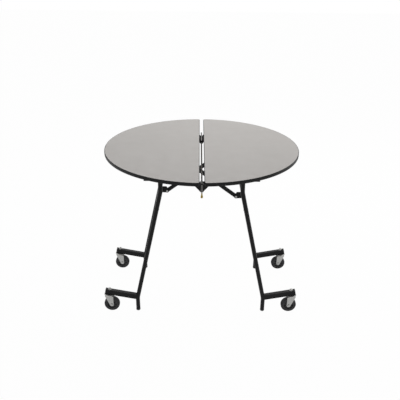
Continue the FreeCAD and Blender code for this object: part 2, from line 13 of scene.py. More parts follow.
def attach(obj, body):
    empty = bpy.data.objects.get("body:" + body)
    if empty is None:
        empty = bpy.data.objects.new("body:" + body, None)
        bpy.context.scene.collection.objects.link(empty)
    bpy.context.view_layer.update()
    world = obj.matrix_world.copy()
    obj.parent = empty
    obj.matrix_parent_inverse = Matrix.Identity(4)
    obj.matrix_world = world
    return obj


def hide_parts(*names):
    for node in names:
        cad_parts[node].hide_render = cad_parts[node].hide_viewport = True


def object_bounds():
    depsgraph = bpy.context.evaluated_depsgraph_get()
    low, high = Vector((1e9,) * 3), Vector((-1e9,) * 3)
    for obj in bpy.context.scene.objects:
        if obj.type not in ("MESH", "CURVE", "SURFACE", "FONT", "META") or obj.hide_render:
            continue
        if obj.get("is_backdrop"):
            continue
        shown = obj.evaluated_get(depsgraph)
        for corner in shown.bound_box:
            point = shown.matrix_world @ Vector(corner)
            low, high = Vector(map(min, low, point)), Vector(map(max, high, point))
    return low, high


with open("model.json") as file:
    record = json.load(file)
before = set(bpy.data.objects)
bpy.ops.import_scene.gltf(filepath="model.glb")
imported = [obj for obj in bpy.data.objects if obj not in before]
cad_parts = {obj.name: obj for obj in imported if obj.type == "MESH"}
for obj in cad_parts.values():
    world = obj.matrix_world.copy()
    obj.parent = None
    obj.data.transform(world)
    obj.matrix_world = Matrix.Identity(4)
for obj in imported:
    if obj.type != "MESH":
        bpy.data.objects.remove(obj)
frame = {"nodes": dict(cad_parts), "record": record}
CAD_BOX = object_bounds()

LOG = logging.getLogger("cafeteria_table")
MM = 0.001
FULL_TURN = 2 * math.pi
MERGE_DISTANCE = 1e-6
CAD_MERGE_DISTANCE = 2e-6
SIGNS = (-1, 1)
ORIGIN = (0.0, 0.0, 0.0)
ACROSS = (0.0, 1.0, 0.0)
UP = (0.0, 0.0, 1.0)
WHITE = (1.0, 1.0, 1.0, 1.0)

Colour = tuple[float, float, float]
Point = tuple[float, float, float]
Flat = tuple[float, float]
Obj = bpy.types.Object
Node = bpy.types.Node
Socket = bpy.types.NodeSocket
Tree = bpy.types.NodeTree


class Side(Enum):
    """Half of the table, by the sign of its X."""

    LEFT = -1
    RIGHT = 1

    @property
    def word(self) -> str:
        """Name of the side as the nodes write it."""
        return self.name.lower()


class End(Enum):
    """End of a leg frame, by the sign of its Y."""

    FRONT = -1
    REAR = 1

    @property
    def word(self) -> str:
        """Name of the end as the nodes write it."""
        return self.name.lower()


class Pick(Enum):
    """Kind of mesh element that an edit step selects."""

    VERT = "VERT"
    EDGE = "EDGE"
    FACE = "FACE"


class Look(Enum):
    """Finish of a piece, by the name of its material."""

    LAMINATE = "warm_grey_laminate"
    BOARD = "raw_chip_board"
    MOULDING = "black_moulding"
    POWDER = "black_powder_coat"
    ZINC = "bright_zinc"
    STEEL = "dull_steel"
    RUBBER = "charcoal_rubber"
    HUB = "dark_hub_plastic"
    PLASTIC = "black_plastic"
    BRASS = "dull_brass"


@dataclass(frozen=True)
class HexSize:
    """Size of a hexagon head. Millimetres."""

    width: float
    height: float
    chamfer: float


def srgb(red: int, green: int, blue: int) -> Colour:
    """Turns a screen colour of 0 to 255 into linear light.

    Args:
        red: Red of the screen colour.
        green: Green of the screen colour.
        blue: Blue of the screen colour.

    Returns:
        The colour as three linear numbers.
    """
    def linear(value: float) -> float:
        """One channel from screen to linear light."""
        return value / 12.92 if value <= 0.04045 else ((value + 0.055) / 1.055) ** 2.4

    return (linear(red / 255), linear(green / 255), linear(blue / 255))


def arc(centre: Flat, radius: float, first: float, last: float, steps: int) -> list[Flat]:
    """Points of an arc with both its ends.

    Args:
        centre: Centre of the arc.
        radius: Radius of the arc.
        first: Angle of the first point, in radians.
        last: Angle of the last point, in radians.
        steps: Number of steps between them.

    Returns:
        The points in order.
    """
    angles = [first + (last - first) * k / steps for k in range(steps + 1)]
    return [(centre[0] + radius * math.cos(a), centre[1] + radius * math.sin(a)) for a in angles]


def combine(tree: Tree, operation: str, first: Socket, second: Socket) -> Socket:
    """Joins two values with a Math node.

    Args:
        tree: Node tree that gets the node.
        operation: What the node does.
        first: First value.
        second: Second value.

    Returns:
        The joined value.
    """
    node = tree.nodes.new("ShaderNodeMath")
    node.operation = operation
    tree.links.new(first, node.inputs[0])
    tree.links.new(second, node.inputs[1])
    return node.outputs["Value"]


class Bench:
    """Modelling steps that all sub-assemblies share."""

    START_RADIUS = 0.01
    CORNER_EASE = 0.25
    RIM_BAND = 1e-5

    @staticmethod
    def clear() -> None:
        """Leaves edit mode and deselects everything."""
        if bpy.context.object and bpy.context.object.mode != "OBJECT":
            bpy.ops.object.mode_set(mode="OBJECT")
        bpy.ops.object.select_all(action="DESELECT")

    @staticmethod
    def take(obj: Obj) -> None:
        """Makes one object the only selected and active one.

        Args:
            obj: Object to take.
        """
        Bench.clear()
        obj.select_set(True)
        bpy.context.view_layer.objects.active = obj

    @staticmethod
    def open(obj: Obj) -> None:
        """Opens an object in edit mode with all of it selected.

        Args:
            obj: Object to open.
        """
        Bench.take(obj)
        bpy.ops.object.mode_set(mode="EDIT")
        bpy.ops.mesh.select_all(action="SELECT")

    @staticmethod
    def close(obj: Obj) -> Obj:
        """Merges doubles, turns the faces outwards and leaves edit mode.

        Args:
            obj: Object in edit mode.

        Returns:
            The same object.
        """
        bpy.ops.mesh.select_mode(type="VERT")
        bpy.ops.mesh.select_all(action="SELECT")
        bpy.ops.mesh.remove_doubles(threshold=MERGE_DISTANCE)
        bpy.ops.mesh.normals_make_consistent(inside=False)
        bpy.ops.object.mode_set(mode="OBJECT")
        return obj

    @staticmethod
    def pick(obj: Obj, kind: Pick, test: Callable) -> None:
        """Selects the elements of the open mesh that pass a test.

        Args:
            obj: Object in edit mode.
            kind: Which elements are tested.
            test: Function of one element, true where it is wanted.
        """
        bpy.ops.mesh.select_mode(type=kind.value)
        bpy.ops.mesh.select_all(action="DESELECT")
        mesh = bmesh.from_edit_mesh(obj.data)
        mesh.normal_update()
        pool = {Pick.VERT: mesh.verts, Pick.EDGE: mesh.edges, Pick.FACE: mesh.faces}[kind]
        for item in [item for item in pool if test(item)]:
            item.select_set(True)
        mesh.select_flush_mode()
        bmesh.update_edit_mesh(obj.data)

    @staticmethod
    def ring(name: str, spots: Sequence[Point], filled: bool) -> Obj:
        """Adds a circle primitive and moves its points to an outline.

        Args:
            name: Name of the new object.
            spots: Corners of the outline, in order, in metres.
            filled: Whether the outline is a face or only its edges.

        Returns:
            The object, still open in edit mode.
        """
        Bench.clear()
        bpy.ops.mesh.primitive_circle_add(vertices=len(spots), radius=Bench.START_RADIUS,
                                          fill_type="NGON" if filled else "NOTHING")
        obj = bpy.context.object
        obj.name = name
        obj.data.name = name
        Bench.open(obj)
        mesh = bmesh.from_edit_mesh(obj.data)
        mesh.verts.ensure_lookup_table()
        for vert, spot in zip(mesh.verts, spots):
            vert.co = spot
        mesh.normal_update()
        bmesh.update_edit_mesh(obj.data)
        return obj

    @staticmethod
    def plate(name: str, spots: Sequence[Point], thick: Point) -> Obj:
        """Extrudes an outline into a plate.

        Args:
            name: Name of the new object.
            spots: Corners of the outline, in order, in metres.
            thick: Direction and length of the extrusion.

        Returns:
            The closed plate.
        """
        obj = Bench.ring(name, spots, True)
        bpy.ops.mesh.extrude_region_move(TRANSFORM_OT_translate={"value": thick})
        return Bench.close(obj)

    @staticmethod
    def lathe(name: str, profile: Sequence[Flat], centre: Point, axis: Point, steps: int) -> Obj:
        """Spins a closed profile a full turn round an axis.

        Args:
            name: Name of the new object.
            profile: Radius and place along the axis of each corner, in millimetres.
            centre: Point on the axis from which the places are counted, in metres.
            axis: Direction of the axis.
            steps: Number of steps of the turn.

        Returns:
            The closed ring or solid of revolution.
        """
        along = Vector(axis).normalized()
        outward = along.orthogonal().normalized()
        start = Vector(centre)
        spots = [tuple(start + outward * (r * MM) + along * (a * MM)) for r, a in profile]
        obj = Bench.ring(name, spots, False)
        bpy.ops.mesh.spin(steps=steps, angle=FULL_TURN, center=start, axis=along)
        Bench.close(obj)
        Bench.open(obj)
        bpy.ops.mesh.delete_loose()
        return Bench.close(obj)

    @staticmethod
    def pipe(name: str, rings: Sequence[Sequence[Point]]) -> Obj:
        """Extrudes a ring of edges through a row of rings.

        Args:
            name: Name of the new object.
            rings: Points of each ring, all in the same order, in metres.

        Returns:
            The pipe, still open in edit mode with its last ring selected.
        """
        obj = Bench.ring(name, rings[0], False)
        for here, ahead in zip(rings, rings[1:]):
            bpy.ops.mesh.extrude_region_move(TRANSFORM_OT_translate={"value": ORIGIN})
            mesh = bmesh.from_edit_mesh(obj.data)
            for vert in (v for v in mesh.verts if v.select):
                gaps = [(vert.co - Vector(spot)).length_squared for spot in here]
                vert.co = ahead[gaps.index(min(gaps))]
            bmesh.update_edit_mesh(obj.data)
        return obj

    @staticmethod
    def hexagon(name: str, size: HexSize) -> Obj:
        """Makes a hexagon head on the origin, chamfered at its upper rim.

        Args:
            name: Name of the new object.
            size: Size of the head.

        Returns:
            The head, standing along +Z.
        """
        high = size.height * MM
        Bench.clear()
        bpy.ops.mesh.primitive_cylinder_add(vertices=6, radius=size.width * MM / math.sqrt(3),
                                            depth=high, location=(0, 0, high / 2))
        obj = bpy.context.object
        obj.name = name
        bpy.ops.object.transform_apply(location=True, rotation=True, scale=True)
        Bench.open(obj)
        Bench.pick(obj, Pick.EDGE, lambda e: all(v.co.z > high - Bench.RIM_BAND for v in e.verts))
        bpy.ops.mesh.bevel(offset=size.chamfer * MM, segments=2, affect="EDGES")
        Bench.pick(obj, Pick.EDGE, lambda e: abs(e.verts[0].co.z - e.verts[1].co.z) > high / 2)
        bpy.ops.mesh.bevel(offset=Bench.CORNER_EASE * MM, segments=2, affect="EDGES")
        return Bench.close(obj)

    @staticmethod
    def cross_head(name: str, size: HexSize, centre: Point, seat: float, sign: int,
                   spin: float = 0.0) -> Obj:
        """Makes a hexagon head that stands on a seat along Y.

        Args:
            name: Name of the new object.
            size: Size of the head.
            centre: Point that the seat is counted from, in metres.
            seat: Distance of the seat, in millimetres.
            sign: Way that the head points along Y.
            spin: Turn of the head about its own axis, in degrees.

        Returns:
            The head in place.
        """
        turn = Matrix.Rotation(math.radians(-90 * sign), 4, "X")
        turn = turn @ Matrix.Rotation(math.radians(spin), 4, "Z")
        spot = Vector(centre) + Vector((0, sign * seat * MM, 0))
        return Bench.move(Bench.hexagon(name, size), Matrix.Translation(spot) @ turn)

    @staticmethod
    def soften(obj: Obj, width: float, segments: int = 2, limit: float = 40.0) -> None:
        """Rounds the sharp edges of a piece with an applied bevel.

        Args:
            obj: Piece to soften.
            width: Width of the bevel, in millimetres.
            segments: Steps of the round.
            limit: Edges sharper than this many degrees are rounded.
        """
        Bench.take(obj)
        bevel = obj.modifiers.new("soft_edges", "BEVEL")
        bevel.width = width * MM
        bevel.segments = segments
        bevel.limit_method = "ANGLE"
        bevel.angle_limit = math.radians(limit)
        bevel.harden_normals = False
        bpy.ops.object.modifier_apply(modifier=bevel.name)

    @staticmethod
    def smooth(obj: Obj, limit: float = 35.0) -> None:
        """Shades a piece smooth except at its sharp edges."""
        Bench.take(obj)
        bpy.ops.object.shade_smooth_by_angle(angle=math.radians(limit))

    @staticmethod
    def level(obj: Obj) -> None:
        """Lets the large faces of a piece shade flat, so that only its eased edges turn.

        Args:
            obj: Piece to level.
        """
        Bench.take(obj)
        even = obj.modifiers.new("level_faces", "WEIGHTED_NORMAL")
        even.keep_sharp = True
        bpy.ops.object.modifier_apply(modifier=even.name)

    @staticmethod
    def move(obj: Obj, place: Matrix) -> Obj:
        """Puts a piece in place and keeps the place in its mesh.

        Args:
            obj: Piece to move.
            place: Where it goes.

        Returns:
            The same piece.
        """
        Bench.take(obj)
        obj.matrix_world = place
        bpy.ops.object.transform_apply(location=True, rotation=True, scale=True)
        Bench.open(obj)
        bpy.ops.mesh.normals_make_consistent(inside=False)
        bpy.ops.object.mode_set(mode="OBJECT")
        return obj

    @staticmethod
    def copy(obj: Obj, name: str) -> Obj:
        """Copies a piece with a mesh of its own.

        Args:
            obj: Piece to copy.
            name: Name of the copy.

        Returns:
            The copy.
        """
        twin = obj.copy()
        twin.data = obj.data.copy()
        twin.name = name
        twin.data.name = name
        bpy.context.scene.collection.objects.link(twin)
        return twin

    @staticmethod
    def join(name: str, parts: Sequence[Obj]) -> Obj:
        """Joins several meshes into one piece.

        Args:
            name: Name of the piece.
            parts: Meshes to join.

        Returns:
            The joined piece.
        """
        Bench.clear()
        for part in parts:
            part.select_set(True)
        bpy.context.view_layer.objects.active = parts[0]
        bpy.ops.object.join()
        whole = bpy.context.view_layer.objects.active
        whole.name = name
        whole.data.name = name
        return whole

    @staticmethod
    def drop(objs: Iterable[Obj]) -> None:
        """Removes model pieces that were only copied from."""
        for obj in objs:
            bpy.data.objects.remove(obj, do_unlink=True)


@dataclass(frozen=True)
class Finish:
    """A surface finish: base colour, gloss, and the patterns that vary them."""

    look: Look
    colour: Colour
    rough: float
    metal: float = 0.0
    shade: float = 0.12
    shade_scale: float = 60.0
    fleck: float = 0.0
    fleck_scale: float = 900.0
    rough_spread: float = 0.08
    rough_fineness: float = 3.0
    bump: float = 0.05
    bump_scale: float = 700.0
    bump_depth: float = 0.0004
    specular: float = 0.5
    noise_mix: float = 0.55
    noise_low: float = 0.3
    noise_high: float = 0.7

    def make(self) -> bpy.types.Material:
        """Builds the node material.

        Returns:
            A material on Object coordinates with varied colour, gloss and relief.
        """
        material = bpy.data.materials.new(self.look.value)
        material.use_nodes = True
        tree = material.node_tree
        shader = tree.nodes["Principled BSDF"]
        shader.inputs["Metallic"].default_value = self.metal
        shader.inputs["Specular IOR Level"].default_value = self.specular
        place = tree.nodes.new("ShaderNodeTexCoord").outputs["Object"]
        self.paint(tree, shader, place)
        self.gloss(tree, shader, place)
        self.relief(tree, shader, place)
        return material

    def noise(self, tree: Tree, place: Socket, scale: float, detail: float) -> Socket:
        """Adds a noise pattern.

        Args:
            tree: Node tree of the material.
            place: Coordinates that the pattern reads.
            scale: Fineness of the pattern, per metre.
            detail: Layers of finer noise.

        Returns:
            The pattern's value from 0 to 1.
        """
        node = tree.nodes.new("ShaderNodeTexNoise")
        node.inputs["Scale"].default_value = scale
        node.inputs["Detail"].default_value = detail
        node.inputs["Roughness"].default_value = self.noise_mix
        tree.links.new(place, node.inputs["Vector"])
        return node.outputs["Fac"]

    def spread(self, tree: Tree, value: Socket, middle: float, reach: float) -> Socket:
        """Maps the middle of a pattern to a range.

        Args:
            tree: Node tree of the material.
            value: Pattern from 0 to 1.
            middle: Middle of the range.
            reach: Reach of the range to each side.

        Returns:
            The mapped value.
        """
        node = tree.nodes.new("ShaderNodeMapRange")
        node.inputs["From Min"].default_value = self.noise_low
        node.inputs["From Max"].default_value = self.noise_high
        node.inputs["To Min"].default_value = middle - reach
        node.inputs["To Max"].default_value = middle + reach
        tree.links.new(value, node.inputs["Value"])
        return node.outputs["Result"]

    def tint(self, tree: Tree, shader: Node, value: Socket) -> None:
        """Scales the base colour by a pattern.

        Args:
            tree: Node tree of the material.
            shader: Shader that takes the colour.
            value: Pattern round 1.
        """
        node = tree.nodes.new("ShaderNodeVectorMath")
        node.operation = "SCALE"
        node.inputs[0].default_value = self.colour
        tree.links.new(value, node.inputs["Scale"])
        tree.links.new(node.outputs["Vector"], shader.inputs["Base Color"])

    @staticmethod
    def cells(tree: Tree, place: Socket, scale: float, softness: float = 0.0) -> Node:
        """Adds a pattern of cells, each with random channels.

        Args:
            tree: Node tree of the material.
            place: Coordinates that the pattern reads.
            scale: Fineness of the pattern, per metre.
            softness: How far the cells run into each other.

        Returns:
            The node that gives the channels.
        """
        node = tree.nodes.new("ShaderNodeTexVoronoi")
        node.inputs["Scale"].default_value = scale
        if softness:
            node.feature = "SMOOTH_F1"
            node.inputs["Smoothness"].default_value = softness
        tree.links.new(place, node.inputs["Vector"])
        split = tree.nodes.new("ShaderNodeSeparateColor")
        tree.links.new(node.outputs["Color"], split.inputs["Color"])
        return split

    def paint(self, tree: Tree, shader: Node, place: Socket) -> None:
        """Gives the colour a broad drift and, where wanted, fine flecks.

        Args:
            tree: Node tree of the material.
            shader: Shader that takes the colour.
            place: Coordinates that the patterns read.
        """
        value = self.spread(tree, self.noise(tree, place, self.shade_scale, 4.0), 1.0, self.shade)
        if self.fleck:
            fine = self.noise(tree, place, self.fleck_scale, 2.0)
            value = combine(tree, "MULTIPLY", value, self.spread(tree, fine, 1.0, self.fleck))
        self.tint(tree, shader, value)

    def gloss(self, tree: Tree, shader: Node, place: Socket) -> None:
        """Varies the roughness a little.

        Args:
            tree: Node tree of the material.
            shader: Shader that takes the roughness.
            place: Coordinates that the pattern reads.
        """
        value = self.noise(tree, place, self.shade_scale * self.rough_fineness, 3.0)
        value = self.spread(tree, value, self.rough, self.rough_spread)
        tree.links.new(value, shader.inputs["Roughness"])

    def relief(self, tree: Tree, shader: Node, place: Socket) -> None:
        """Adds the fine surface relief.

        Args:
            tree: Node tree of the material.
            shader: Shader that takes the relief.
            place: Coordinates that the pattern reads.
        """
        node = tree.nodes.new("ShaderNodeBump")
        node.inputs["Strength"].default_value = self.bump
        node.inputs["Distance"].default_value = self.bump_depth
        tree.links.new(self.noise(tree, place, self.bump_scale, 2.0), node.inputs["Height"])
        tree.links.new(node.outputs["Normal"], shader.inputs["Normal"])


@dataclass(frozen=True)
class ChipFinish(Finish):
    """Particle board: chips of several browns."""

    chip_scale: float = 330.0
    dark_chip: float = 0.62
    pale_chip: float = 1.35

    def paint(self, tree: Tree, shader: Node, place: Socket) -> None:
        """Colours each chip on its own.

        Args:
            tree: Node tree of the material.
            shader: Shader that takes the colour.
            place: Coordinates that the chips read.
        """
        ramp = tree.nodes.new("ShaderNodeValToRGB")
        for stop, tone in zip(ramp.color_ramp.elements, (self.dark_chip, self.pale_chip)):
            stop.color = (*[min(1.0, c * tone) for c in self.colour], 1.0)
        chips = self.cells(tree, place, self.chip_scale)
        tree.links.new(chips.outputs["Red"], ramp.inputs["Fac"])
        tree.links.new(ramp.outputs["Color"], shader.inputs["Base Color"])


@dataclass(frozen=True)
class SpangleFinish(Finish):
    """Zinc plate: soft crystal patches with small changes of tone and gloss."""

    patch_scale: float = 260.0
    patch_blend: float = 0.35

    def paint(self, tree: Tree, shader: Node, place: Socket) -> None:
        """Gives each crystal patch its own tone."""
        patches = self.cells(tree, place, self.patch_scale, self.patch_blend).outputs["Green"]
        self.tint(tree, shader, self.spread(tree, patches, 1.0, self.shade))


class Finishes:
    """All finishes of the table, made once."""

    ALL: tuple[Finish, ...] = (
        Finish(Look.LAMINATE, srgb(183, 179, 175), rough=0.46, shade=0.015, shade_scale=5.0,
               fleck=0.035, fleck_scale=1400.0, rough_spread=0.05, bump=0.05, bump_scale=1600.0,
               specular=0.4),
        ChipFinish(Look.BOARD, srgb(168, 138, 104), rough=0.85, bump=0.35, bump_scale=420.0),
        Finish(Look.MOULDING, srgb(27, 27, 28), rough=0.45, shade=0.10, fleck=0.10,
               fleck_scale=1500.0, bump=0.08, bump_scale=1100.0, specular=0.16),
        Finish(Look.POWDER, srgb(22, 22, 23), rough=0.42, shade=0.10, fleck=0.10,
               fleck_scale=1300.0, rough_spread=0.06, bump=0.14, bump_scale=850.0, specular=0.16),
        SpangleFinish(Look.ZINC, srgb(166, 166, 164), rough=0.36, metal=1.0, shade=0.07,
                      shade_scale=140.0, rough_spread=0.07, bump=0.04, bump_scale=900.0),
        SpangleFinish(Look.STEEL, srgb(92, 91, 90), rough=0.42, metal=1.0, shade=0.10,
                      shade_scale=120.0, rough_spread=0.08, bump=0.06, bump_scale=800.0),
        Finish(Look.RUBBER, srgb(58, 58, 60), rough=0.72, shade=0.10, fleck=0.12,
               fleck_scale=1200.0, bump=0.18, bump_scale=1000.0, specular=0.3),
        Finish(Look.HUB, srgb(38, 38, 40), rough=0.5, shade=0.08, fleck=0.06, bump=0.08,
               bump_scale=900.0),
        Finish(Look.PLASTIC, srgb(24, 24, 25), rough=0.5, shade=0.08, fleck=0.08, bump=0.10,
               bump_scale=1000.0),
        Finish(Look.BRASS, srgb(140, 121, 58), rough=0.36, metal=1.0, shade=0.14,
               shade_scale=220.0, rough_spread=0.1, bump=0.08, bump_scale=700.0),
    )

    def __init__(self) -> None:
        """Builds every material."""
        self.materials = {finish.look: finish.make() for finish in self.ALL}

    def dress(self, obj: Obj, look: Look) -> None:
        """Gives one piece its finish."""
        obj.data.materials.clear()
        obj.data.materials.append(self.materials[look])


@dataclass
class Piece:
    """A modelled piece with what it rides on, replaces and takes its finish from."""

    obj: Obj
    body: str
    slot: str
    look: Look
    nodes: tuple[str, ...]
    flat: bool = False

    def settle(self, finishes: Finishes) -> None:
        """Dresses the piece and ties it to its body.

        Args:
            finishes: All finishes of the table.
        """
        Bench.smooth(self.obj)
        if self.flat:
            Bench.level(self.obj)
        finishes.dress(self.obj, self.look)
        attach(self.obj, self.body)
        if self.nodes:
            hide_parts(*self.nodes)
        LOG.info("%s rides %s, %d faces", self.obj.name, self.body, len(self.obj.data.polygons))


@dataclass
class EdgeMoulding:
    """Rounded black moulding round each half of the top. Sizes in millimetres."""

    radius: float = 609.6
    gap: float = 27.0
    corner: float = 14.0
    width: float = 3.5
    low: float = 1046.3
    high: float = 1066.8
    nose: float = 2.4
    nose_steps: int = 4
    arc_steps: int = 220
    corner_steps: int = 9
    middle_x: float = 260.0
    upright_limit: float = 0.1
    level_limit: float = 0.9

    def outline(self, side: Side) -> list[Point]:
        """Outline of one half, rounded where the arc meets the gap.

        Args:
            side: Half of the table.

        Returns:
            Corners in order, in metres, at the height of the top.
        """
        reach = self.radius - self.corner
        x = self.gap / 2 + self.corner
        y = math.sqrt(reach ** 2 - x ** 2)
        lean = math.atan2(y, x)
        spots = arc((0.0, 0.0), self.radius, -lean, lean, self.arc_steps)
        spots += arc((x, y), self.corner, lean, math.pi, self.corner_steps)[1:]
        spots += arc((x, -y), self.corner, math.pi, FULL_TURN - lean, self.corner_steps)[:-1]
        return [(side.value * x * MM, y * MM, self.high * MM) for x, y in spots]

    def build(self, side: Side) -> Piece:
        """Models the moulding of one half.

        Args:
            side: Half of the table.

        Returns:
            The moulding, which stands for the plain band.
        """
        obj = Bench.ring(f"{side.word}_edge_moulding", self.outline(side), True)
        bpy.ops.mesh.select_mode(type="FACE")
        bpy.ops.mesh.select_all(action="SELECT")
        bpy.ops.mesh.inset(thickness=self.width * MM, depth=0.0, use_boundary=True,
                           use_even_offset=True)
        bpy.ops.mesh.delete(type="FACE")
        bpy.ops.mesh.select_all(action="SELECT")
        bpy.ops.mesh.extrude_region_move(
            TRANSFORM_OT_translate={"value": (0, 0, (self.low - self.high) * MM)})
        bpy.ops.mesh.select_all(action="SELECT")
        bpy.ops.mesh.normals_make_consistent(inside=False)
        centre = Vector((side.value * self.middle_x * MM, 0, 0))
        Bench.pick(obj, Pick.EDGE, lambda edge: self.is_nose(edge, centre))
        bpy.ops.mesh.bevel(offset=self.nose * MM, segments=self.nose_steps, affect="EDGES",
                           clamp_overlap=True)
        Bench.close(obj)
        return Piece(obj, f"{side.word}_top", "edge", Look.MOULDING, (f"{side.word}_edge_band",))

    def is_nose(self, edge: bmesh.types.BMEdge, centre: Vector) -> bool:
        """Tells the outer rim edges from the others.

        Args:
            edge: Edge of the moulding.
            centre: Point inside the half.

        Returns:
            True for an outer rim edge at the top or the bottom.
        """
        if len(edge.link_faces) != 2:
            return False
        wall, lid = sorted((face.normal for face in edge.link_faces), key=lambda n: abs(n.z))
        if abs(wall.z) > self.upright_limit or abs(lid.z) < self.level_limit:
            return False
        middle = (edge.verts[0].co + edge.verts[1].co) / 2
        outward = Vector((middle.x - centre.x, middle.y - centre.y, 0))
        return wall.dot(outward) > 0


@dataclass
class Caster:
    """Swivel caster in its own frame: +X out along the arm, +Z up the swivel axis. Millimetres."""

    swivel_x: float = 604.5
    swivel_z: float = 143.662
    leg_y: float = 270.0
    tilt: float = 11.0
    arm_height: float = 35.0
    cup_height: float = 7.0
    cup_radius: float = 29.0
    cup_steps: int = 72
    crown_top: float = -24.9
    crown_thick: float = 3.0
    crown_back: float = 22.0
    crown_front: float = 32.0
    plate: float = 2.5
    inside: float = 18.275
    bend: float = 5.0
    bend_steps: int = 5
    trail: float = 31.8
    drop: float = 87.4
    eye: float = 12.5
    eye_steps: int = 10
    skirt: float = 2.0
    spare: float = 3.0
    ease: float = 0.45
    ease_limit: float = 50.0
    wheel_radius: float = 50.8
    wheel_width: float = 31.75
    tyre_depth: float = 14.0
    tyre_steps: int = 96
    hub_steps: int = 72
    axle_radius: float = 4.75
    stem_radius: float = 5.0
    rod_steps: int = 32
    washer: float = 1.5
    washer_steps: int = 40
    stem_nut: HexSize = HexSize(17.0, 7.5, 1.1)
    axle_washer: float = 1.1
    axle_washer_steps: int = 36
    axle_nut: HexSize = HexSize(14.0, 3.9, 0.8)
    ribs: int = 8
    rib_first: float = 0.2
    rib_half: float = 1.1
    rib_start: float = 12.6
    rib_stop: float = 31.8
    rib_base: float = 4.8
    rib_height: float = 5.2

    def place(self, side: Side, end: End) -> Matrix:
        """Where a caster stands on its arm.

        Args:
            side: Half of the table.
            end: End of the leg frame.

        Returns:
            Matrix from the caster's frame to the table's.
        """
        lean = Matrix.Rotation(math.radians(-self.tilt), 4, "Y")
        spot = Vector((self.swivel_x, end.value * self.leg_y, self.swivel_z)) * MM
        left = side is Side.LEFT
        mirror = Matrix.Scale(-1, 4, Vector((1, 0, 0))) if left else Matrix.Identity(4)
        return mirror @ Matrix.Translation(spot) @ lean

    @property
    def hub_centre(self) -> Point:
        """Middle of the wheel in the caster's frame, in metres."""
        return (-self.trail * MM, 0.0, -self.drop * MM)

    def fork_section(self) -> list[Point]:
        """Bent sheet section of the fork, across the wheel.

        Returns:
            Corners in order, in metres, at the fork's inner end.
        """
        low = -self.drop - self.eye - self.skirt
        outer = self.inside + self.plate
        start = -self.trail - self.eye - self.spare
        inner = self.bend - self.plate
        brow = self.crown_top - self.bend
        roof = self.crown_top - self.crown_thick - inner
        level, upright, back = 0.0, math.pi / 2, math.pi
        steps = self.bend_steps
        spots = [(-outer, low)]
        spots += arc((-outer + self.bend, brow), self.bend, back, upright, steps)
        spots += arc((outer - self.bend, brow), self.bend, upright, level, steps)
        spots += [(outer, low), (self.inside, low)]
        spots += arc((self.inside - inner, roof), inner, level, upright, steps)
        spots += arc((-self.inside + inner, roof), inner, upright, back, steps)
        spots.append((-self.inside, low))
        return [(start * MM, y * MM, z * MM) for y, z in spots]

    def fork_cuts(self) -> list[tuple[Point, Point]]:
        """Planes that trim the bent sheet to the fork's outline.

        Returns:
            A point and an outward normal for each plane.
        """
        back_top = Vector((self.crown_back, 0, self.crown_top - 2 * self.crown_thick))
        front_top = Vector((-self.crown_front, 0, self.crown_top))
        axle = Vector((-self.trail, 0, -self.drop))
        back = self.tangent(back_top, axle, 1)
        front = self.tangent(front_top, axle, -1)
        cuts = [(back_top, back), (front_top, front)]
        first = math.atan2(back.z, back.x)
        last = math.atan2(front.z, front.x)
        last = last - FULL_TURN if last > first else last
        for k in range(1, self.eye_steps):
            angle = first + (last - first) * k / self.eye_steps
            normal = Vector((math.cos(angle), 0, math.sin(angle)))
            cuts.append((axle + normal * self.eye, normal))
        return [(tuple(point * MM), tuple(normal)) for point, normal in cuts]

    def tangent(self, top: Vector, axle: Vector, sign: int) -> Vector:
        """Finds the edge from a crown corner to the round axle end.

        Args:
            top: Crown corner.
            axle: Middle of the axle end.
            sign: Side of the edge that faces outwards.

        Returns:
            The outward normal of the edge.
        """
        run = axle - top
        turn = math.pi / 2 + math.asin(self.eye / run.length)
        angle = math.atan2(run.z, run.x) + sign * turn
        return Vector((math.cos(angle), 0, math.sin(angle)))

    def model_fork(self) -> Obj:
        """Models the fork once, in the caster's frame.

        Returns:
            The bent and trimmed fork with soft edges.
        """
        obj = Bench.ring("fork_model", self.fork_section(), True)
        length = self.crown_back + self.trail + self.eye + self.spare
        bpy.ops.mesh.extrude_region_move(TRANSFORM_OT_translate={"value": (length * MM, 0, 0)})
        bpy.ops.mesh.select_all(action="SELECT")
        bpy.ops.mesh.normals_make_consistent(inside=False)
        for point, normal in self.fork_cuts():
            bpy.ops.mesh.select_all(action="SELECT")
            bpy.ops.mesh.bisect(plane_co=point, plane_no=normal, use_fill=True, clear_outer=True)
        Bench.close(obj)
        Bench.soften(obj, self.ease, limit=self.ease_limit)
        return obj

